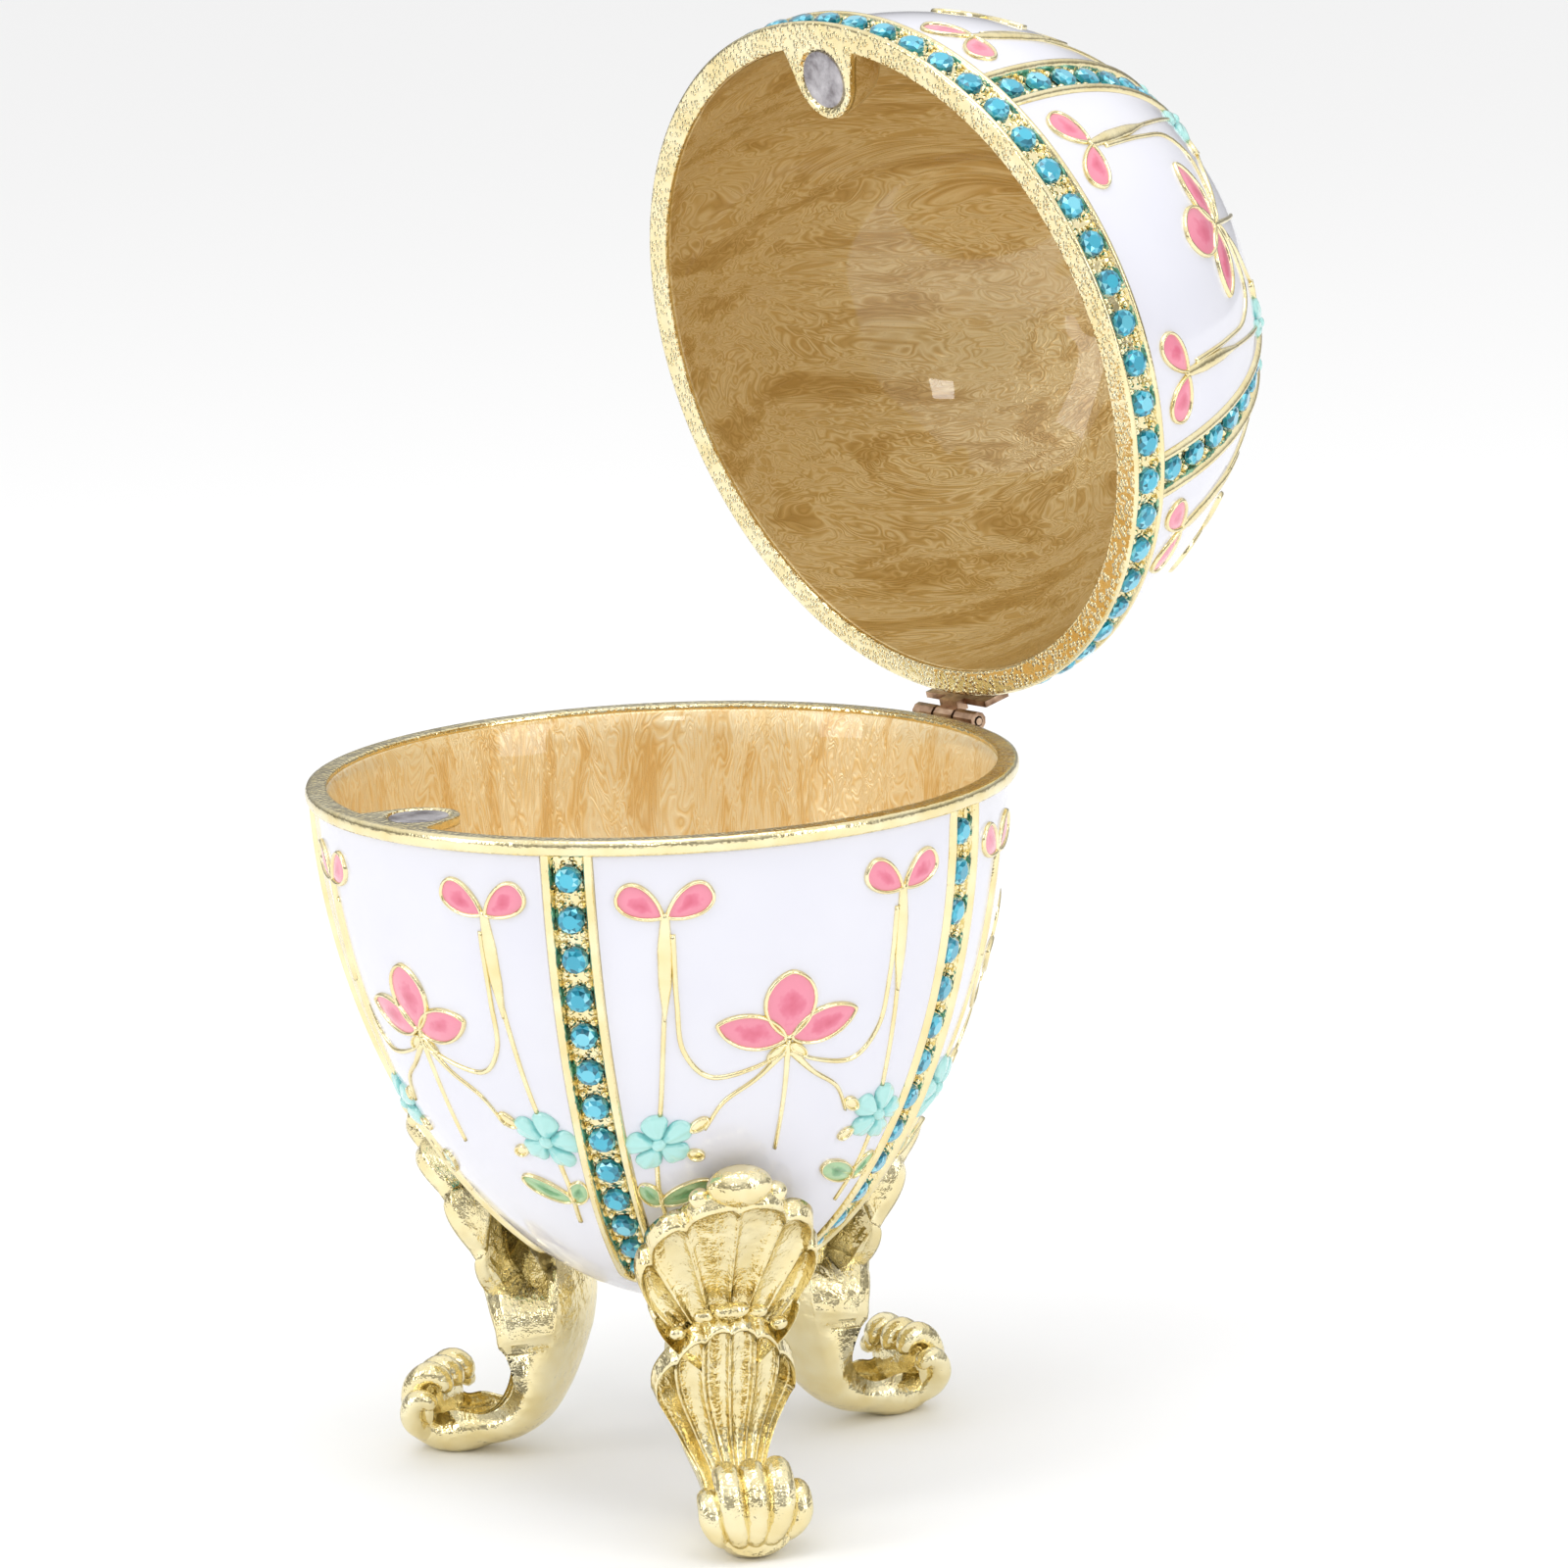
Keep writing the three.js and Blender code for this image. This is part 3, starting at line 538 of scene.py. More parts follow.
def hoop(outer, way, face_grain, depth):
    """A closed ring turned from the `outer` profile of (radius, height, grain) points. Its rim
    face runs in to the mouth, or round the boss, in `share` steps, and dips into a shallow
    pocket round the magnet; inside it stops `depth` below the rim face."""
    turn = round_turns(420, 150)[:, None]
    mouth = inner_reach(turn, 0.0 * turn, 0 * turn + MOUTH_R)
    share = np.concatenate([[0, 0.015, 0.04], np.linspace(0.08, 0.92, 26), [0.97]])[None, :]
    face_r = mouth + share * (outer[0][0] - mouth)
    edge = 0.1 * np.exp(-share * (outer[0][0] - mouth) / 0.12)
    from_magnet = np.hypot(face_r * np.cos(turn), face_r * np.sin(turn) + MAGNET_OUT)
    pocket = 0.35 / (1 + np.exp(((from_magnet - MAGNET_POCKET) / 0.03).clip(-50, 50)))
    face_z = -way * (-edge - pocket)
    r = np.concatenate([mouth, face_r] + [0 * turn + p[0] for p in outer]
                       + [0 * turn + MOUTH_R + 0.9, 0 * turn + MOUTH_R + 0.9, mouth], 1)
    z = np.concatenate([0 * turn + way * depth * 0.5, face_z] + [0 * turn + p[1] for p in outer]
                       + [0 * turn + outer[-1][1], 0 * turn + way * depth, 0 * turn + way * depth], 1)
    grain = np.concatenate([[0], face_grain * np.ones(share.shape[1]), [p[2] for p in outer], [0, 0, 0]])
    points = np.stack([r * np.cos(turn), r * np.sin(turn), z], -1)
    rows, columns = points.shape[:2]
    points = points.reshape(-1, 3)
    return points, facing_out(points, [quads(rows + 1, columns) % (rows * columns)]), np.tile(grain, rows)


def rib(egg, turn, start, end, round_end):
    """One rib as a closed body: across it, the height depends on the distance d in from its edge,
    a rounded rail for d under 0.9 and a flat channel sunk in the enamel beyond. A round end
    measures d from a half circle."""
    stop = end - RIB_HALF if round_end else end
    s = np.linspace(start, stop, int((stop - start) * 4))
    if round_end:
        s = np.concatenate([s, stop + RIB_HALF * np.sin(np.linspace(0.1, np.pi / 2 - 0.02, 14))])
    s = s[:, None]
    q = np.array([1, 0.985, 0.95, 0.89, 0.82, 0.76, 0.7, 0.64, 0.61, 0.59, 0.54, 0.46, 0.3, 0.1])
    q = np.concatenate([-q, q[::-1]])[None, :]
    past = (s - stop).clip(0)
    half = np.sqrt((RIB_HALF ** 2 - past ** 2).clip(1e-4))
    x = q * half
    d = RIB_HALF - np.hypot(x, past)
    rail = RAIL_HEIGHT * (1 - np.abs((d - 0.45) / 0.45).clip(0, 1) ** 3.0)
    floor = np.clip((d - 0.86) / 0.12, 0, 1)
    lift = rail * (1 - floor) - CHANNEL_DEPTH * floor
    r = np.interp(s, egg["s"], egg["r"])
    x = x * np.minimum(1, r * np.radians(18) / RIB_HALF)
    top = on_egg(egg, turn, x, s + 0 * x, lift)
    base = on_egg(egg, turn, x[:, ::-9], s + 0 * x[:, ::-9], -0.85)
    grain = np.concatenate([floor, 0 * x[:, ::-9]], 1).ravel()
    points, faces = through_rings(np.concatenate([top, base], 1))
    return points, faces, np.concatenate([grain, [0, 0]])


bowl_rim = hoop([(29.6, 0, 0), (29.85, -0.06, 0), (29.97, -0.3, 0), (30.0, -0.62, 0), (29.95, -0.95, 0),
                 (29.8, -1.22, 0), (29.6, -1.3, 0)], -1, 0.35, 0.75)
bowl_ribs = [rib(bowl_egg, turn, 0.9, end, True) for turn, end in zip(RIB_ANGLES, BOWL_RIB_ENDS)]
build("bowl_trim", [bowl_rim] + bowl_ribs, in_bowl, "base", trim_gold)

lid_band = hoop([(30.15, 0, 0.7), (30.35, 0.06, 0.2), (30.47, 0.22, 0), (30.45, 0.42, 0), (30.3, 0.58, 0),
                 (29.86, 0.63, 0.5), (29.8, 0.75, 1), (29.8, 1.4, 1), (29.8, 2.3, 1), (29.8, 2.95, 1),
                 (29.86, 3.07, 0.5), (30.3, 3.12, 0), (30.42, 3.25, 0), (30.42, 3.45, 0),
                 (30.3, 3.62, 0), (30.05, 3.7, 0)], 1, 1.0, 0.75)
lid_ribs = [rib(lid_egg, turn, 3.3, lid_egg["s"][-1] - 2.5, False) for turn in RIB_ANGLES]
cap_r = np.array([4.6, 4.6, 4.5, 4.2, 3.7, 3.2, 2.9, 2.6, 2.0, 1.2, 0.4])
cap_z = LID_HEIGHT + np.array([-2.2, -0.1, 0.2, 0.42, 0.5, 0.55, 0.75, 0.92, 1.05, 1.12, 1.14])
cap_turn = np.linspace(0, 2 * np.pi, 64, endpoint=False)
lid_cap = through_rings(np.stack(np.broadcast_arrays(cap_r[:, None] * np.cos(cap_turn),
                        cap_r[:, None] * np.sin(cap_turn), cap_z[:, None]), -1))
build("lid_trim", [lid_band, lid_cap] + lid_ribs, in_lid, "lid", trim_gold)

# ---- the stones ---------------------------------------------------------------------------------
# Round foil-backed glass stones, cut with a flat table and two rows of facets, are glued into the
# channels. Between them stand four tiny gold beads, raised from the floor to hold the stones.

STONE_R = 1.15
BEAD_SIDE = 0.92
LID_ROW_START = 4.05
LID_ROW_COUNT = 12
RIM_PLACES = 54
RIM_STONES = 51
RIM_STONE_Z = 1.85


def cut_stone():
    """One stone at its own centre: ten-sided rings from the bed to the girdle, then the middle
    row turned by half a step, then the table. Faces between them are triangles."""
    k = np.arange(10)
    rings = [(1.0, -0.3, 0), (1.0, 0.08, 0), (0.86, 0.34, 0.5), (0.52, 0.5, 0)]
    points = [np.stack([share * STONE_R * np.cos((k + half) * np.pi / 5),
                        share * STONE_R * np.sin((k + half) * np.pi / 5), 0 * k + up], -1)
              for share, up, half in rings]
    j = (k + 1) % 10
    sides = np.stack([k, j, 10 + j, 10 + k], -1)
    facets = [np.stack(corners, -1) for corners in
              ((10 + k, 10 + j, 20 + k), (10 + j, 20 + j, 20 + k),
               (20 + k, 30 + j, 30 + k), (20 + k, 20 + j, 30 + j))]
    points = np.concatenate(points)
    return points, facing_out(points, [sides, np.concatenate(facets), 30 + k[None], 9 - k[None]])


def bead_shape():
    """A small ball from four six-sided rings at equal steps in latitude."""
    lat = np.linspace(-np.pi / 2, np.pi / 2, 6)[1:-1, None]
    lon = np.linspace(0, 2 * np.pi, 6, endpoint=False)[None, :]
    rings = np.stack(np.broadcast_arrays(np.cos(lat) * np.cos(lon), np.cos(lat) * np.sin(lon),
                                         np.sin(lat)), -1)
    points, faces = through_rings(rings)
    points[-2:, 2] = (-1, 1)
    return points, faces


def set_out(shape, faces, frames, turns=None):
    """Copies of a small shape, one in each frame (at, along, across, out)."""
    at, along, across, out = frames
    if turns is not None:
        c, s = np.cos(turns)[:, None], np.sin(turns)[:, None]
        along, across = c * along + s * across, c * across - s * along
    points = (at[:, None] + shape[None, :, :1] * along[:, None] + shape[None, :, 1:2] * across[:, None]
              + shape[None, :, 2:] * out[:, None])
    shift = (np.arange(len(at)) * len(shape))[:, None, None]
    return points.reshape(-1, 3), [(face[None] + shift).reshape(-1, face.shape[1]) for face in faces]


def rib_frames(egg, turn, start, count, x, step, lift):
    """Frames (at, along, across, out) down a rib, `x` beside its middle line and `step` of a
    pitch past each stone's start: 0.5 is a stone's own centre. `out` points out of the egg."""
    s = start + (np.arange(count) + step) * STONE_PITCH
    x = x + 0 * s
    at = on_egg(egg, turn, x, s, lift)
    along = on_egg(egg, turn, x, s + 0.05, lift) - on_egg(egg, turn, x, s - 0.05, lift)
    across = on_egg(egg, turn, x + 0.05, s, lift) - on_egg(egg, turn, x - 0.05, s, lift)
    along /= np.linalg.norm(along, axis=1, keepdims=True)
    across /= np.linalg.norm(across, axis=1, keepdims=True)
    out = np.cross(along, across)
    flip = np.sign(np.einsum("ij,ij->i", out, at - (0, 0, egg["z"][-1] * 0.3)))[:, None]
    return at, along, across * flip, out * flip


def rim_frames(turns, z, radius):
    """Frames round the lid's band."""
    c, s, o = np.cos(turns), np.sin(turns), 0 * turns
    at = np.stack([radius * c, radius * s, z + o], -1)
    return at, np.stack([-s, c, o], -1), np.stack([o, o, 1 + o], -1), np.stack([c, s, o], -1)


stone_points, stone_faces = cut_stone()
ball_points, ball_faces = bead_shape()

glass, nodes, links, shader = paint("turquoise_glass")
facet = nodes.new("ShaderNodeAttribute")
facet.attribute_name = "facet"
# Each facet's tone picks a colour from dark teal to pale cyan: the stones' own aqua lies in the middle, and the
# dark and pale ends are painted shade and painted glints of the foil.
tone = ramp(nodes, (0.0, (0.0, 0.10, 0.15)), (0.35, (0.01, 0.27, 0.40)), (0.7, (0.05, 0.50, 0.68)),
            (1.0, (0.38, 0.82, 0.92)))
links.new(facet.outputs["Fac"], tone.inputs["Fac"])
links.new(tone.outputs["Color"], shader.inputs["Base Color"])
shader.inputs["Roughness"].default_value = 0.06
shader.inputs["Metallic"].default_value = 0.25
shader.inputs["Coat Weight"].default_value = 1.0
shader.inputs["Coat Roughness"].default_value = 0.02


def stones(name, frames, place, body, seed):
    """One row of stones. Every facet gets its own fixed tone, from dark to bright: painted reflections
    and painted shade, standing in for the light that the foil behind the glass throws back from some facets
    only."""
    count = len(frames[0])
    chance = np.random.default_rng(seed)
    parts = [set_out(stone_points, stone_faces, frames, chance.uniform(0, np.pi, count))]
    made = build(name, parts, place, body, glass, smooth=False)
    # Painted light per facet: random dark and bright facets for the foil's glints, the table painted bright, the
    # bed painted dark.
    painted_facet_glints = np.concatenate([chance.uniform(0.2, 0.7, 10 * count), chance.beta(1.1, 1.3, 40 * count),
                            chance.uniform(0.45, 0.85, count), np.zeros(count)])
    made.data.attributes.new("facet", "FLOAT", "FACE").data.foreach_set("value", painted_facet_glints)
    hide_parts(name)


def rib_beads(egg, turn, start, count):
    """Four beads between each two stones of a rib."""
    parts = []
    for x in (-BEAD_SIDE, BEAD_SIDE):
        for step in (-0.16, 0.14):
            parts.append(rib_frames(egg, turn, start, count - 1, x, 1 + step, -0.32))
    frames = [np.concatenate(group) for group in zip(*parts)]
    return set_out(ball_points * 0.36, ball_faces, frames)


bowl_beads, lid_beads = [], []
for i, turn in enumerate(RIB_ANGLES):
    count = BOWL_ROW_COUNTS[i]
    frames = rib_frames(bowl_egg, turn, BOWL_ROW_START, count, 0.0, 0.5, -0.1)
    stones(f"bowl_stones_{i + 1}", frames, in_bowl, "base", 10 + i)
    bowl_beads.append(rib_beads(bowl_egg, turn, BOWL_ROW_START, count))
    frames = rib_frames(lid_egg, turn, LID_ROW_START, LID_ROW_COUNT, 0.0, 0.5, -0.1)
    stones(f"lid_stones_{i + 1}", frames, in_lid, "lid", 20 + i)
    lid_beads.append(rib_beads(lid_egg, turn, LID_ROW_START, LID_ROW_COUNT))

rim_step = np.radians(360 / RIM_PLACES)
rim_turns = np.radians(90) + (2.0 + np.arange(RIM_STONES)) * rim_step
stones("lid_rim_stones", rim_frames(rim_turns, RIM_STONE_Z, 30.1), in_lid, "lid", 31)
for side in (-BEAD_SIDE, BEAD_SIDE):
    for step in (-0.13, 0.13):
        between = rim_turns[:-1] + (0.5 + step) * rim_step
        places = rim_frames(between, RIM_STONE_Z + side, 29.9)
        lid_beads.append(set_out(ball_points * 0.34, ball_faces, places))
bead_gold = gold("bead_gold", 0.0, 0.0)
build("bowl_beads", bowl_beads, in_bowl, "base", bead_gold)
build("lid_beads", lid_beads, in_lid, "lid", bead_gold)

# ---- the flower sprays --------------------------------------------------------------------------
# Every panel carries the same spray in low relief: thin gold wires cast with the egg, petals and
# leaves walled in gold and flooded with pink, turquoise and green enamel. On the lid it is turned
# to climb from the rim the same way, so both halves mirror each other across the rim.


def curve_through(knots, steps):
    """Points evenly spaced along a centripetal Catmull-Rom curve through the knots."""
    knots = np.asarray(knots, float)
    padded = np.concatenate([2 * knots[:1] - knots[1:2], knots, 2 * knots[-1:] - knots[-2:-1]])
    t = np.concatenate([[0], np.cumsum(np.linalg.norm(np.diff(padded, axis=0), axis=1) ** 0.5)])
    fine = []
    for k in range(1, len(padded) - 2):
        p = [padded[k + j] for j in (-1, 0, 1, 2)]
        u = [t[k + j] for j in (-1, 0, 1, 2)]
        at = np.linspace(u[1], u[2], 40, endpoint=k == len(padded) - 3)[:, None]

        def blend(a, b, ua, ub):
            return ((ub - at) * a + (at - ua) * b) / (ub - ua)

        a = [blend(p[j], p[j + 1], u[j], u[j + 1]) for j in range(3)]
        b = [blend(a[j], a[j + 1], u[j], u[j + 2]) for j in range(2)]
        fine.append(blend(b[0], b[1], u[1], u[2]))
    fine = np.concatenate(fine)
    run = np.concatenate([[0], np.cumsum(np.linalg.norm(np.diff(fine, axis=0), axis=1))])
    even = np.linspace(0, run[-1], steps)
    return np.stack([np.interp(even, run, fine[:, d]) for d in range(knots.shape[1])], -1)


def wire(path, width, height):
    """A half-round wire laid on the egg: at every point of the flat (x, s) path, a half circle
    `width` wide and `height` high stands on two points sunk under the enamel."""
    step = np.gradient(path, axis=0)
    step /= np.linalg.norm(step, axis=1, keepdims=True)
    side = np.stack([-step[:, 1], step[:, 0]], -1)
    phi = np.linspace(0, np.pi, 7)
    off = np.concatenate([np.cos(phi), [-0.9, 0.9]])[None, :] * np.broadcast_to(width, len(path))[:, None] / 2
    lift = np.concatenate([np.sin(phi), [-1.2, -1.2]])[None, :] * np.broadcast_to(height, len(path))[:, None]
    flat = path[:, None] + off[..., None] * side[:, None]
    return np.concatenate([flat, lift[..., None]], -1)


def petal_edge(base, length, width, heading, belly, tip, steps=32):
    """The closed outline of a petal from its base point: its half width runs as
    t^belly * (1 - t)^tip along its length, scaled to `width`, then it is turned to `heading`."""
    phi = np.linspace(0, 2 * np.pi, steps, endpoint=False)
    t = (1 - np.cos(phi)) / 2
    half = t ** belly * (1 - t) ** tip
    half = half / half.max() * width / 2 * np.sign(np.sin(phi))
    c, s = np.cos(heading), np.sin(heading)
    return np.stack([base[0] + c * length * t - s * half, base[1] + s * length * t + c * half], -1)


def edge_wall(edge, width, height):
    """A half-round wall that follows a closed outline."""
    step = np.roll(edge, -1, 0) - np.roll(edge, 1, 0)
    step /= np.linalg.norm(step, axis=1, keepdims=True) + 1e-9
    side = np.stack([-step[:, 1], step[:, 0]], -1)
    phi = np.linspace(0, np.pi, 6)
    off = np.concatenate([np.cos(phi), [-0.9, 0.9]]) * width / 2
    lift = np.concatenate([np.sin(phi) * height, [-0.3, -0.3]])
    flat = edge[:, None] + off[None, :, None] * side[:, None]
    return np.concatenate([flat, np.broadcast_to(lift[None, :, None], flat.shape[:2] + (1,))], -1)


def flooded(edge, low, high, vein=0.0):
    """The enamel inside an outline: rings shrink to its middle while the lift goes from `low` at
    the edge to `high` by 1 - share^2, less a groove `vein` deep along the petal's axis."""
    middle = edge.mean(0)
    share = np.array([1.0, 0.93, 0.8, 0.62, 0.42, 0.22, 0.06])[:, None, None]
    flat = middle + share * (edge - middle)
    axis = edge[len(edge) // 2] - edge[0]
    axis /= np.linalg.norm(axis)
    offset = (flat - middle) @ np.array([-axis[1], axis[0]])
    lift = low + (high - low) * (1 - share[..., 0] ** 2) - vein * np.exp(-(offset / 0.16) ** 2)
    top = np.concatenate([flat, lift[..., None]], -1)
    bed = np.concatenate([flat[:1], 0 * flat[:1, :, :1] - 0.3], -1)
    shade = np.concatenate([share[0, :, 0] + 0 * offset[0], (share[..., 0] + 0 * offset).ravel(), [0, 0]])
    return np.concatenate([bed, top]), shade


class Spray:
    """Collects the parts of the sprays on one half: `gold`, `pink`, `turquoise` and `green`."""

    def __init__(self, egg, shift):
        self.egg, self.shift = egg, shift
        self.gold, self.pink, self.turquoise, self.green = [], [], [], []

    def put(self, kind, flat, turn, mirror, ring=False, shade=None):
        """Lays a grid of (x, s, lift) on the egg and adds it to its kind as a closed body."""
        points = on_egg(self.egg, turn, mirror * flat[..., 0], flat[..., 1] + self.shift, flat[..., 2])
        if ring:
            rows, columns = flat.shape[:2]
            spread = points.reshape(-1, 3)
            part = spread, facing_out(spread, [quads(rows + 1, columns) % (rows * columns)])
        else:
            part = through_rings(points)
        getattr(self, kind).append(part if shade is None else (*part, shade))


def lay_petal(spray, kind, turn, mirror, base, length, width, heading, belly, tip, wall=0.36, vein=0.0):
    """A petal or leaf: its gold wall and the enamel that floods it. `heading` is in degrees."""
    edge = petal_edge(base, length, width, np.radians(heading), belly, tip)
    spray.put("gold", edge_wall(edge, wall, 0.34), turn, mirror, ring=True)
    flat, shade = flooded(edge, 0.12, 0.26, vein)
    spray.put(kind, flat, turn, mirror, shade=shade)


def lay_wire(spray, turn, mirror, knots, width, height=0.22, steps=28):
    """A gold wire through (x, s) knots, of one width or of widths spaced along it."""
    path = curve_through(knots, steps)
    if np.ndim(width):
        width = np.interp(np.linspace(0, 1, steps), np.linspace(0, 1, len(width)), width)
    spray.put("gold", wire(path, width, height), turn, mirror)


def lay_flower(spray, turn, mirror, centre):
    """A five-petalled flower of radius 2.9 * (0.52 + 0.48 * |cos(2.5 phi)|^0.45): each petal is a
    shallow dome split by fine grooves, round a small ball for an eye."""
    phi = np.linspace(0, 2 * np.pi, 70, endpoint=False)[None, :]
    lobe = np.abs(np.cos(2.5 * phi))
    edge = 2.9 * (0.52 + 0.48 * lobe ** 0.45)
    share = np.array([1.0, 0.96, 0.85, 0.7, 0.52, 0.34, 0.2, 0.08])[:, None]
    lift = 0.12 + 0.55 * np.sqrt((1 - share ** 2).clip(0)) * (0.35 + 0.65 * lobe ** 0.6)
    lift = lift + 0.07 * np.cos(15 * phi) * share - 0.25 * np.exp(-(share / 0.25) ** 2)
    flat = np.stack(np.broadcast_arrays(centre[0] + share * edge * np.cos(phi),
                                        centre[1] + share * edge * np.sin(phi), lift), -1)
    bed = flat[:1] * (1, 1, 0) - (0, 0, 0.3)
    # The flower's shade number is low between the petals and round the eye and high on the petals' tips, so its
    # turquoise is darker in those hollows: painted shade.
    shade = np.concatenate([0 * phi[0], (lobe ** 0.5 * share ** 0.5).ravel(), [0, 0]])
    spray.put("turquoise", np.concatenate([bed, flat]), turn, mirror, shade=shade)
    lat = np.linspace(-1.2, 1.45, 7)[:, None]
    around = np.linspace(0, 2 * np.pi, 14, endpoint=False)[None, :]
    eye = np.stack(np.broadcast_arrays(centre[0] + 0.62 * np.cos(lat) * np.cos(around),
                                       centre[1] + 0.62 * np.cos(lat) * np.sin(around),
                                       0.35 + 0.5 * np.sin(lat)), -1)
    spray.put("turquoise", eye, turn, mirror, shade=np.ones(7 * 14 + 2))


def lay_spray(spray, turn):
    """The whole spray of one panel, its left half mirrored from its right."""
    lay_petal(spray, "pink", turn, 1, (0, 17.9), 5.8, 4.3, -90, 0.75, 0.62)
    lay_wire(spray, turn, 1, [(0, 18.2), (0.1, 23), (0.0, 29)], (0.55, 0.4, 0.34))
    for mirror in (-1, 1):
        lay_petal(spray, "pink", turn, mirror, (0.3, 18.0), 6.0, 2.9, -17, 0.7, 0.75)
        lay_petal(spray, "pink", turn, mirror, (10.7, 6.5), 4.1, 2.5, -32, 0.8, 0.42)
        lay_petal(spray, "pink", turn, mirror, (10.3, 6.5), 4.1, 2.5, -148, 0.8, 0.42)
        lay_petal(spray, "gold", turn, mirror, (0.2, 18.6), 1.9, 0.8, 40, 0.6, 0.6, wall=0.2)
        lay_wire(spray, turn, mirror, [(10.5, 6.2), (10.5, 9), (10.4, 12.5), (10.3, 15.5)],
                 (0.7, 1.25, 1.1, 0.25), 0.36)
        lay_wire(spray, turn, mirror, [(10.4, 13.5), (10.3, 18), (10.0, 24.6)], 0.42)
        lay_wire(spray, turn, mirror,
                 [(9.9, 8), (9.4, 14), (8.6, 18.5), (6.3, 21.0), (2.5, 20.4), (0.3, 19.2)],
                 (0.5, 0.42, 0.42, 0.45, 0.3), steps=48)
        lay_wire(spray, turn, mirror, [(0.3, 19.3), (2.4, 21.5), (5.0, 23.6), (6.2, 26.2)],
                 (0.7, 0.45, 0.4, 0.25))
        lay_flower(spray, turn, mirror, (9.8, 27.3))
        lay_petal(spray, "gold", turn, mirror, (7.4, 26.2), 1.7, 1.0, -140, 0.6, 0.5, wall=0.25)
        lay_petal(spray, "gold", turn, mirror, (7.3, 28.4), 1.5, 0.9, 150, 0.6, 0.5, wall=0.25)
        lay_wire(spray, turn, mirror, [(9.7, 29.6), (9.0, 33), (7.6, 37)], 0.42)
        lay_petal(spray, "green", turn, mirror, (8.6, 34.2), 4.3, 2.1, -148, 0.55, 0.5, wall=0.2, vein=0.14)
        lay_petal(spray, "green", turn, mirror, (8.7, 34.4), 3.2, 1.5, -52, 0.55, 0.6, wall=0.2, vein=0.14)


def glossy_enamel(name, thin, full, deep):
    """Translucent enamel over gold: paler where the layer thins to the wall, deeper in the middle,
    with a faint clouding. On the flowers the same ramp darkens the hollows between the petals and
    round the eye: painted shade."""
    material, nodes, links, shader = paint(name)
    marked = nodes.new("ShaderNodeAttribute")
    marked.attribute_name = "shade"
    here = nodes.new("ShaderNodeTexCoord").outputs["Object"]
    cloud = noise(nodes, links, here, 900.0, 2.0)
    mixed = math_node(nodes, links, "MULTIPLY_ADD", cloud.outputs["Fac"], 0.9, marked.outputs["Fac"])
    tone = ramp(nodes, (0.35, deep), (0.8, full), (1.45, thin))
    links.new(mixed, tone.inputs["Fac"])
    links.new(tone.outputs["Color"], shader.inputs["Base Color"])
    links.new(bumped(nodes, links, cloud.outputs["Fac"], 0.25, 0.0002), shader.inputs["Normal"])
    shader.inputs["Roughness"].default_value = 0.12
    shader.inputs["Coat Weight"].default_value = 0.8
    shader.inputs["Coat Roughness"].default_value = 0.03
    return material


pink = glossy_enamel("pink_enamel", (0.84, 0.26, 0.36), (0.77, 0.17, 0.27), (0.66, 0.09, 0.17))
turquoise = glossy_enamel("turquoise_enamel", (0.42, 0.76, 0.72), (0.20, 0.60, 0.58), (0.08, 0.42, 0.42))
green = glossy_enamel("green_enamel", (0.38, 0.60, 0.32), (0.19, 0.43, 0.19), (0.06, 0.24, 0.07))
wire_gold = gold("wire_gold", 0.25, 0.0)
for half, egg, shift, place, body in (("bowl", bowl_egg, 0.0, in_bowl, "base"),
                                      ("lid", lid_egg, 2.0, in_lid, "lid")):
    spray = Spray(egg, shift)
    for turn in PANEL_ANGLES:
        lay_spray(spray, turn)
    build(f"{half}_spray_gold", spray.gold, place, body, wire_gold)
    for kind, colour in (("pink", pink), ("turquoise", turquoise), ("green", green)):
        build(f"{half}_spray_{kind}", getattr(spray, kind), place, body, colour)

# ---- the magnets in their bosses ----------------------------------------------------------------
# A nickel-plated disc magnet is glued into the boss that swells from each half's wall opposite
# the hinge, a hair below the rim face. The two discs meet when the lid shuts.

def magnet(way):
    """A flat disc with a slightly rounded edge, turned about its own axis."""
    r = np.array([1.2, 2.3, 2.44, 2.5, 2.5, 2.3])
    z = way * np.array([0.05, 0.05, 0.08, 0.17, 0.9, 1.0])
    turn = np.linspace(0, 2 * np.pi, 64, endpoint=False)[None, :]
    return through_rings(np.stack(np.broadcast_arrays(r[:, None] * np.cos(turn),
                         r[:, None] * np.sin(turn) - MAGNET_OUT, z[:, None]), -1))


nickel, nodes, links, shader = paint("dull_nickel")
here = nodes.new("ShaderNodeTexCoord").outputs["Object"]
drawn = nodes.new("ShaderNodeMapping")
drawn.inputs["Rotation"].default_value = (0.3, 0.2, 0.6)
drawn.inputs["Scale"].default_value = (1.0, 0.12, 0.5)
links.new(here, drawn.inputs["Vector"])
scratch = noise(nodes, links, drawn.outputs["Vector"], 3000.0, 3.0, 0.7)
stain = noise(nodes, links, here, 420.0, 4.0, 0.65)
tone = ramp(nodes, (0.35, (0.20, 0.18, 0.19)), (0.5, (0.42, 0.40, 0.42)), (0.7, (0.62, 0.60, 0.62)))
links.new(stain.outputs["Fac"], tone.inputs["Fac"])
links.new(tone.outputs["Color"], shader.inputs["Base Color"])
links.new(bumped(nodes, links, scratch.outputs["Fac"], 0.5, 0.0002), shader.inputs["Normal"])
shader.inputs["Roughness"].default_value = 0.42
shader.inputs["Metallic"].default_value = 0.85
for name, way, place, body in (("bowl", -1, in_bowl, "base"), ("lid", 1, in_lid, "lid")):
    disc = build(f"{name}_magnet_disc", [magnet(way)], place, body, nickel)
    disc.data.set_sharp_from_angle(angle=np.radians(40))
    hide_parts(f"{name}_magnet")

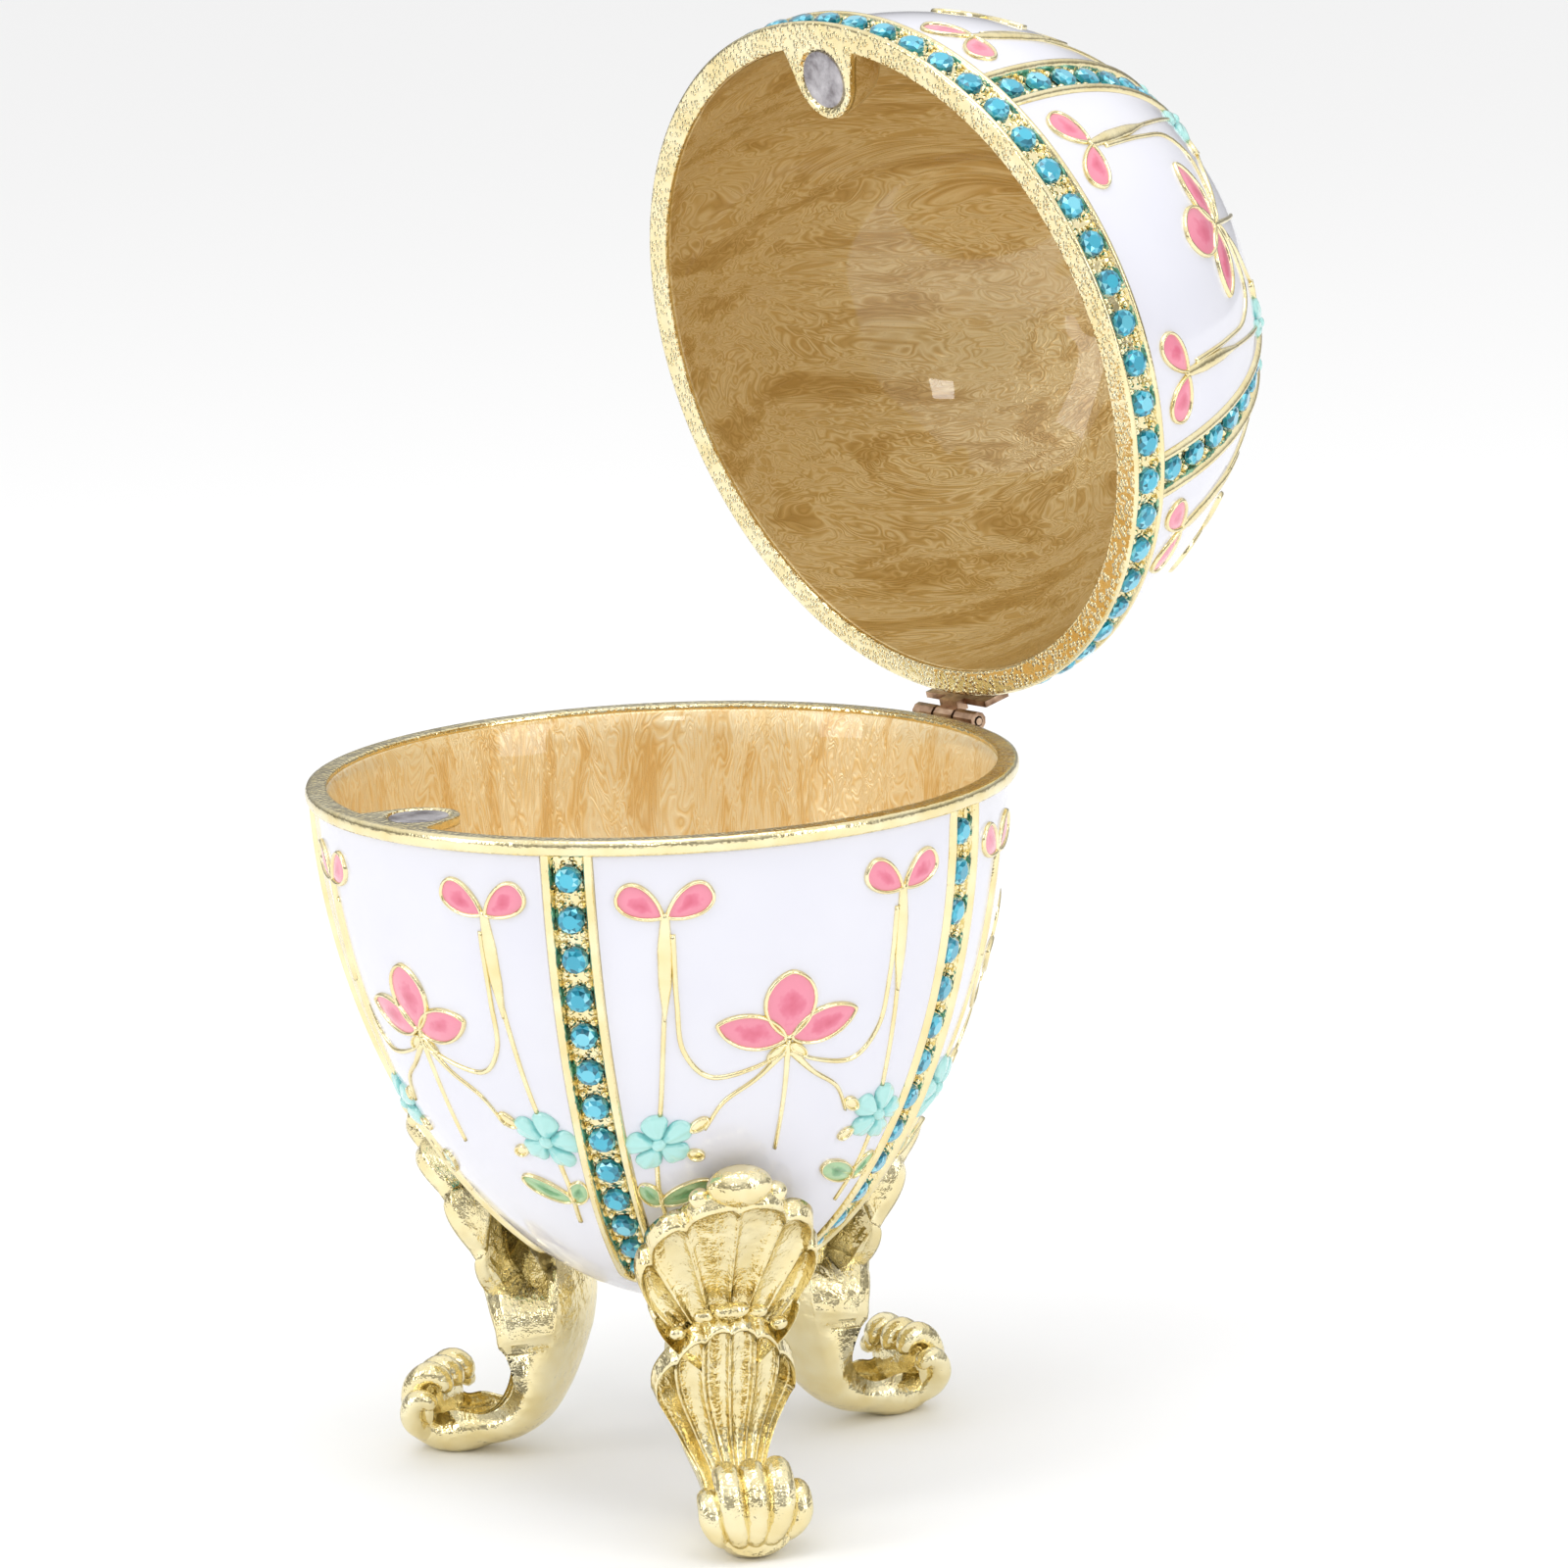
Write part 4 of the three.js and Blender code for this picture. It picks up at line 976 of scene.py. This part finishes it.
# ---- the legs -----------------------------------------------------------------------------------
# Three legs, cast and plated, are soldered under the egg. Each is a fan of flutes that rises
# against the bowl to a bead, a second fluted shell below it that narrows to an ankle, and a foot
# that turns up into a lobed scroll.

LEG_ANGLES = {"leg_back": 90, "leg_front_left": -153, "leg_front_right": -27}


def spine(knots):
    """A leg's front line in its own plane (outward, height), with its outward normal."""
    path = curve_through(knots, 400)
    step = np.gradient(path, axis=0)
    step /= np.linalg.norm(step, axis=1, keepdims=True)
    length = np.linalg.norm(np.diff(path, axis=0), axis=1).sum()
    return {"t": np.linspace(0, 1, 400), "path": path, "out": np.stack([step[:, 1], -step[:, 0]], -1),
            "length": length}


def on_spine(line, s, y, lift):
    """Points at share `s` of a leg's front line, `y` across the leg and `lift` out from it."""
    s = np.clip(s, 0, 1)
    at = [np.interp(s, line["t"], line["path"][:, d]) for d in (0, 1)]
    out = [np.interp(s, line["t"], line["out"][:, d]) for d in (0, 1)]
    return np.stack(np.broadcast_arrays(at[0] + lift * out[0], y, at[1] + lift * out[1]), -1)


def smooth(x, low, high):
    """A soft step from 0 at `low` to 1 at `high`: 3 t^2 - 2 t^3."""
    t = ((x - low) / (high - low)).clip(0, 1)
    return t * t * (3 - 2 * t)


def thick_plate(front, rear):
    """A closed plate between two grids of points that share their rows and columns."""
    return through_rings(np.concatenate([front, rear[:, ::-1]], 1))


def scoops(across, count):
    """Across a row of hollow flutes, from 0 in the middle of each to 1 on the ridge between two,
    and the height there: hollow by 1 - place^2, with a narrow raised ridge."""
    place = np.abs((across * count / 2 + (0.5 if count % 2 else 0.0)) % 1 - 0.5) * 2
    return place, 0.34 * np.exp(-((1 - place) / 0.16) ** 2) - 0.42 * (1 - place ** 2)


upper_line = spine([(14.9, -48.8), (16.9, -43.2), (19.3, -38.4), (22.0, -33.8), (24.0, -30.2)])
lower_line = spine([(25.0, -58.9), (23.2, -59.6), (21.2, -59.3), (18.3, -57.6), (16.5, -54.4),
                    (16.3, -51.0), (17.1, -47.0), (18.6, -42.9)])


def upper_shell():
    """The fan: eight hollow flutes run out from the waist at angles up to 57 degrees. Its reach
    falls to both sides, and each flute ends in a round lobe with a rolled lip that leans out."""
    across = np.linspace(-1, 1, 121)[None, :]
    v = np.linspace(0, 1, 60)[:, None]
    turn = across * np.radians(57)
    place, hollow = scoops(across, 8)
    fall = (np.abs(across) * 57 / 63) ** 1.7
    lobe = np.sqrt(1 - 0.8 * place ** 2)
    run = 1.5 + (20.4 * (1 - fall) + 2.2 * (lobe - 0.7) - 1.5) * v
    y = run * np.sin(turn)
    lip = 0.85 * np.exp(-((v - 0.94) / 0.04) ** 2) - 0.7 * smooth(v, 0.96, 1.0)
    lean = 0.9 * (1 - place ** 2) * smooth(v, 0.75, 1.0)
    side = 0.35 * np.exp(-((1 - np.abs(across)) / 0.025) ** 2)
    fade = smooth(v, 0.1, 0.45) * (1 - smooth(v, 0.9, 0.96))
    lift = -0.04 * y ** 2 + 0.3 + hollow * fade + lip + lean + side
    s = run * np.cos(turn) / upper_line["length"]
    rear = -4.6 - 0.02 * y ** 2
    return thick_plate(on_spine(upper_line, s, y, lift), on_spine(upper_line, s, y * 0.93, rear))


def lower_shell():
    """The lower shell, ankle and foot: six hollow flutes down to a gutter with raised sides. Half
    width, bulge and thickness are smooth steps along its line, and its back is rounded."""
    across = np.linspace(-1, 1, 91)[None, :]
    v = np.linspace(0, 1, 96)[:, None]
    place, hollow = scoops(across, 6)
    lobe = np.sqrt(1 - 0.8 * place ** 2)
    s = v * (1 - 0.31 * across ** 2 + 0.05 * (lobe - 0.7) * smooth(v, 0.5, 1))
    foot = 3.0 - 0.3 * smooth(s, 0.1, 0.42)
    y = across * (foot + 3.8 * smooth(s, 0.36, 0.76) ** 0.9)
    bulge = 2.2 * smooth(s, 0.2, 0.52) - 1.3 * (1 - smooth(s, 0.16, 0.34))
    lip = 0.75 * np.exp(-((v - 0.955) / 0.022) ** 2) - 0.7 * smooth(v, 0.968, 1.0)
    side = 0.4 * np.exp(-((1 - np.abs(across)) / 0.05) ** 2)
    fade = smooth(v, 0.02, 0.5) * (1 - smooth(v, 0.925, 0.95))
    hollow = hollow * (0.35 + 0.65 * fade) * (1 - smooth(v, 0.925, 0.95))
    front = -bulge * across ** 2 + hollow + lip + side
    thick = 2.4 + 2.0 * smooth(s, 0.2, 0.45) + 2.9 * smooth(s, 0.42, 0.8)
    round_back = 1 - np.sqrt(1 - 0.96 * across ** 2)
    rear = -thick + (1.9 - 0.9 * smooth(s, 0.25, 0.5)) * round_back
    back_y = y * (0.96 - 0.28 * smooth(s, 0.45, 0.7))
    return thick_plate(on_spine(lower_line, s, y, front), on_spine(lower_line, s, back_y, rear))


def ball(centre, radii, lean):
    """An ellipsoid, leaning in the leg's plane."""
    lat = np.linspace(-1.5, 1.5, 16)[:, None]
    lon = np.linspace(0, 2 * np.pi, 24, endpoint=False)[None, :]
    x, y, z = (radii[0] * np.cos(lat) * np.cos(lon), radii[1] * np.cos(lat) * np.sin(lon),
               radii[2] * np.sin(lat))
    c, s = np.cos(lean), np.sin(lean)
    return through_rings(np.stack(np.broadcast_arrays(centre[0] + c * x + s * z, centre[1] + y,
                                                      centre[2] - s * x + c * z), -1))


def rolled_lobe(y, knots, radius, narrow):
    """One lobe of the foot's scroll: a round cord along a path in the leg's plane that curls up
    over the toe. It thins toward both ends and drifts to the middle of the foot at the bottom."""
    path = curve_through(knots, 40)
    t = np.linspace(0, 1, 40)
    step = np.gradient(path, axis=0)
    step /= np.linalg.norm(step, axis=1, keepdims=True)
    side = np.stack([step[:, 1], -step[:, 0]], -1)
    size = radius * (0.5 + 0.5 * smooth(t, 0.0, 0.45)) * np.sqrt(1 - (2 * (t - 0.5)).clip(0, 1) ** 4 * 0.9)
    a = np.linspace(0, 2 * np.pi, 18, endpoint=False)
    middle = y * (narrow + (1 - narrow) * smooth(t, 0.05, 0.6)) - 0.5 * (1 - smooth(t, 0.0, 0.5))
    flat = path[:, None] + (size[:, None] * np.cos(a))[..., None] * side[:, None]
    return through_rings(np.stack([flat[..., 0], middle[:, None] + size[:, None] * np.sin(a), flat[..., 1]], -1))


def foot_scroll():
    """Three high lobes and two lower ones beside them, on a core that fills the curl."""
    high = [(21.4, -60.6), (23.2, -60.75), (24.9, -59.7), (25.6, -57.6), (25.2, -55.6), (23.9, -54.6),
            (22.7, -55.0), (22.4, -56.1)]
    low = [(21.8, -60.4), (23.3, -60.3), (24.7, -59.3), (25.1, -57.9), (24.6, -56.7), (23.5, -56.5),
           (22.9, -57.2)]
    lobes = [rolled_lobe(y, high, 1.2, 0.25) for y in (-2.15, 0.0, 2.15)]
    lobes += [rolled_lobe(y, low, 1.05, 0.4) for y in (-3.75, 3.75)]
    return lobes + [ball((24.0, 0, -57.7), (1.25, 3.5, 2.5), 0.0)]


def leg_parts():
    """Everything one leg is cast from: two shells, the scroll, the bead on the crown and the
    small pearls where the shells meet."""
    pearls = [ball((18.9, 0.0, -42.2), (0.75, 1.5, 0.7), 0.3)]
    for side in (-1, 1):
        pearls.append(ball((18.4, side * 2.3, -42.6), (0.6, 0.85, 0.6), 0.0))
        pearls.append(ball((17.1, side * 4.3, -44.2), (0.6, 0.75, 0.6), 0.0))
        pearls.append(ball((23.3, side * 3.1, -31.2), (0.9, 1.0, 0.9), 0.0))
    crown = ball((24.2, 0, -30.2), (1.85, 2.75, 1.75), -0.45)
    return [upper_shell(), lower_shell(), crown] + foot_scroll() + pearls


leg_gold = gold("leg_gold", 0.5, 0.0)
for name, degrees in LEG_ANGLES.items():
    c, s = np.cos(np.radians(degrees)), np.sin(np.radians(degrees))

    def in_place(points):
        """Turned to its side of the egg, kept above the table and out of the bowl's wall."""
        x, y, z = points[..., 0], points[..., 1], np.maximum(points[..., 2], -RIM_Z)
        room = np.interp(-z, -bowl_egg["z"], bowl_egg["r"], right=0.0) - 0.5
        reach = np.hypot(x, y)
        grow = np.where(z > -BOWL_DEPTH, np.maximum(1, room / np.maximum(reach, 0.1)), 1)
        return np.stack([(c * x - s * y) * grow, (s * x + c * y) * grow, z], -1) + EGG_AXIS

    cast_leg = build(f"{name}_cast", leg_parts(), in_place, "base", leg_gold)
    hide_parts(name)

# ---- the hinge ----------------------------------------------------------------------------------
# A small three-knuckle barrel hinge in plain bronze. One leaf is soldered to the back of the
# bowl's band, the other to the lid's, and the pin runs through the knuckles.

bronze, nodes, links, shader = paint("aged_bronze")
here = nodes.new("ShaderNodeTexCoord").outputs["Object"]
dull = noise(nodes, links, here, 900.0, 3.0)
tone = ramp(nodes, (0.3, (0.22, 0.13, 0.08)), (0.55, (0.50, 0.33, 0.22)), (0.8, (0.72, 0.54, 0.38)))
links.new(dull.outputs["Fac"], tone.inputs["Fac"])
links.new(tone.outputs["Color"], shader.inputs["Base Color"])
links.new(bumped(nodes, links, dull.outputs["Fac"], 0.4, 0.0002), shader.inputs["Normal"])
shader.inputs["Roughness"].default_value = 0.38
shader.inputs["Metallic"].default_value = 1.0
for node in ("hinge_leaf_bowl", "hinge_leaf_lid", "hinge_pin"):
    frame["nodes"][node].data.materials.clear()
    frame["nodes"][node].data.materials.append(bronze)
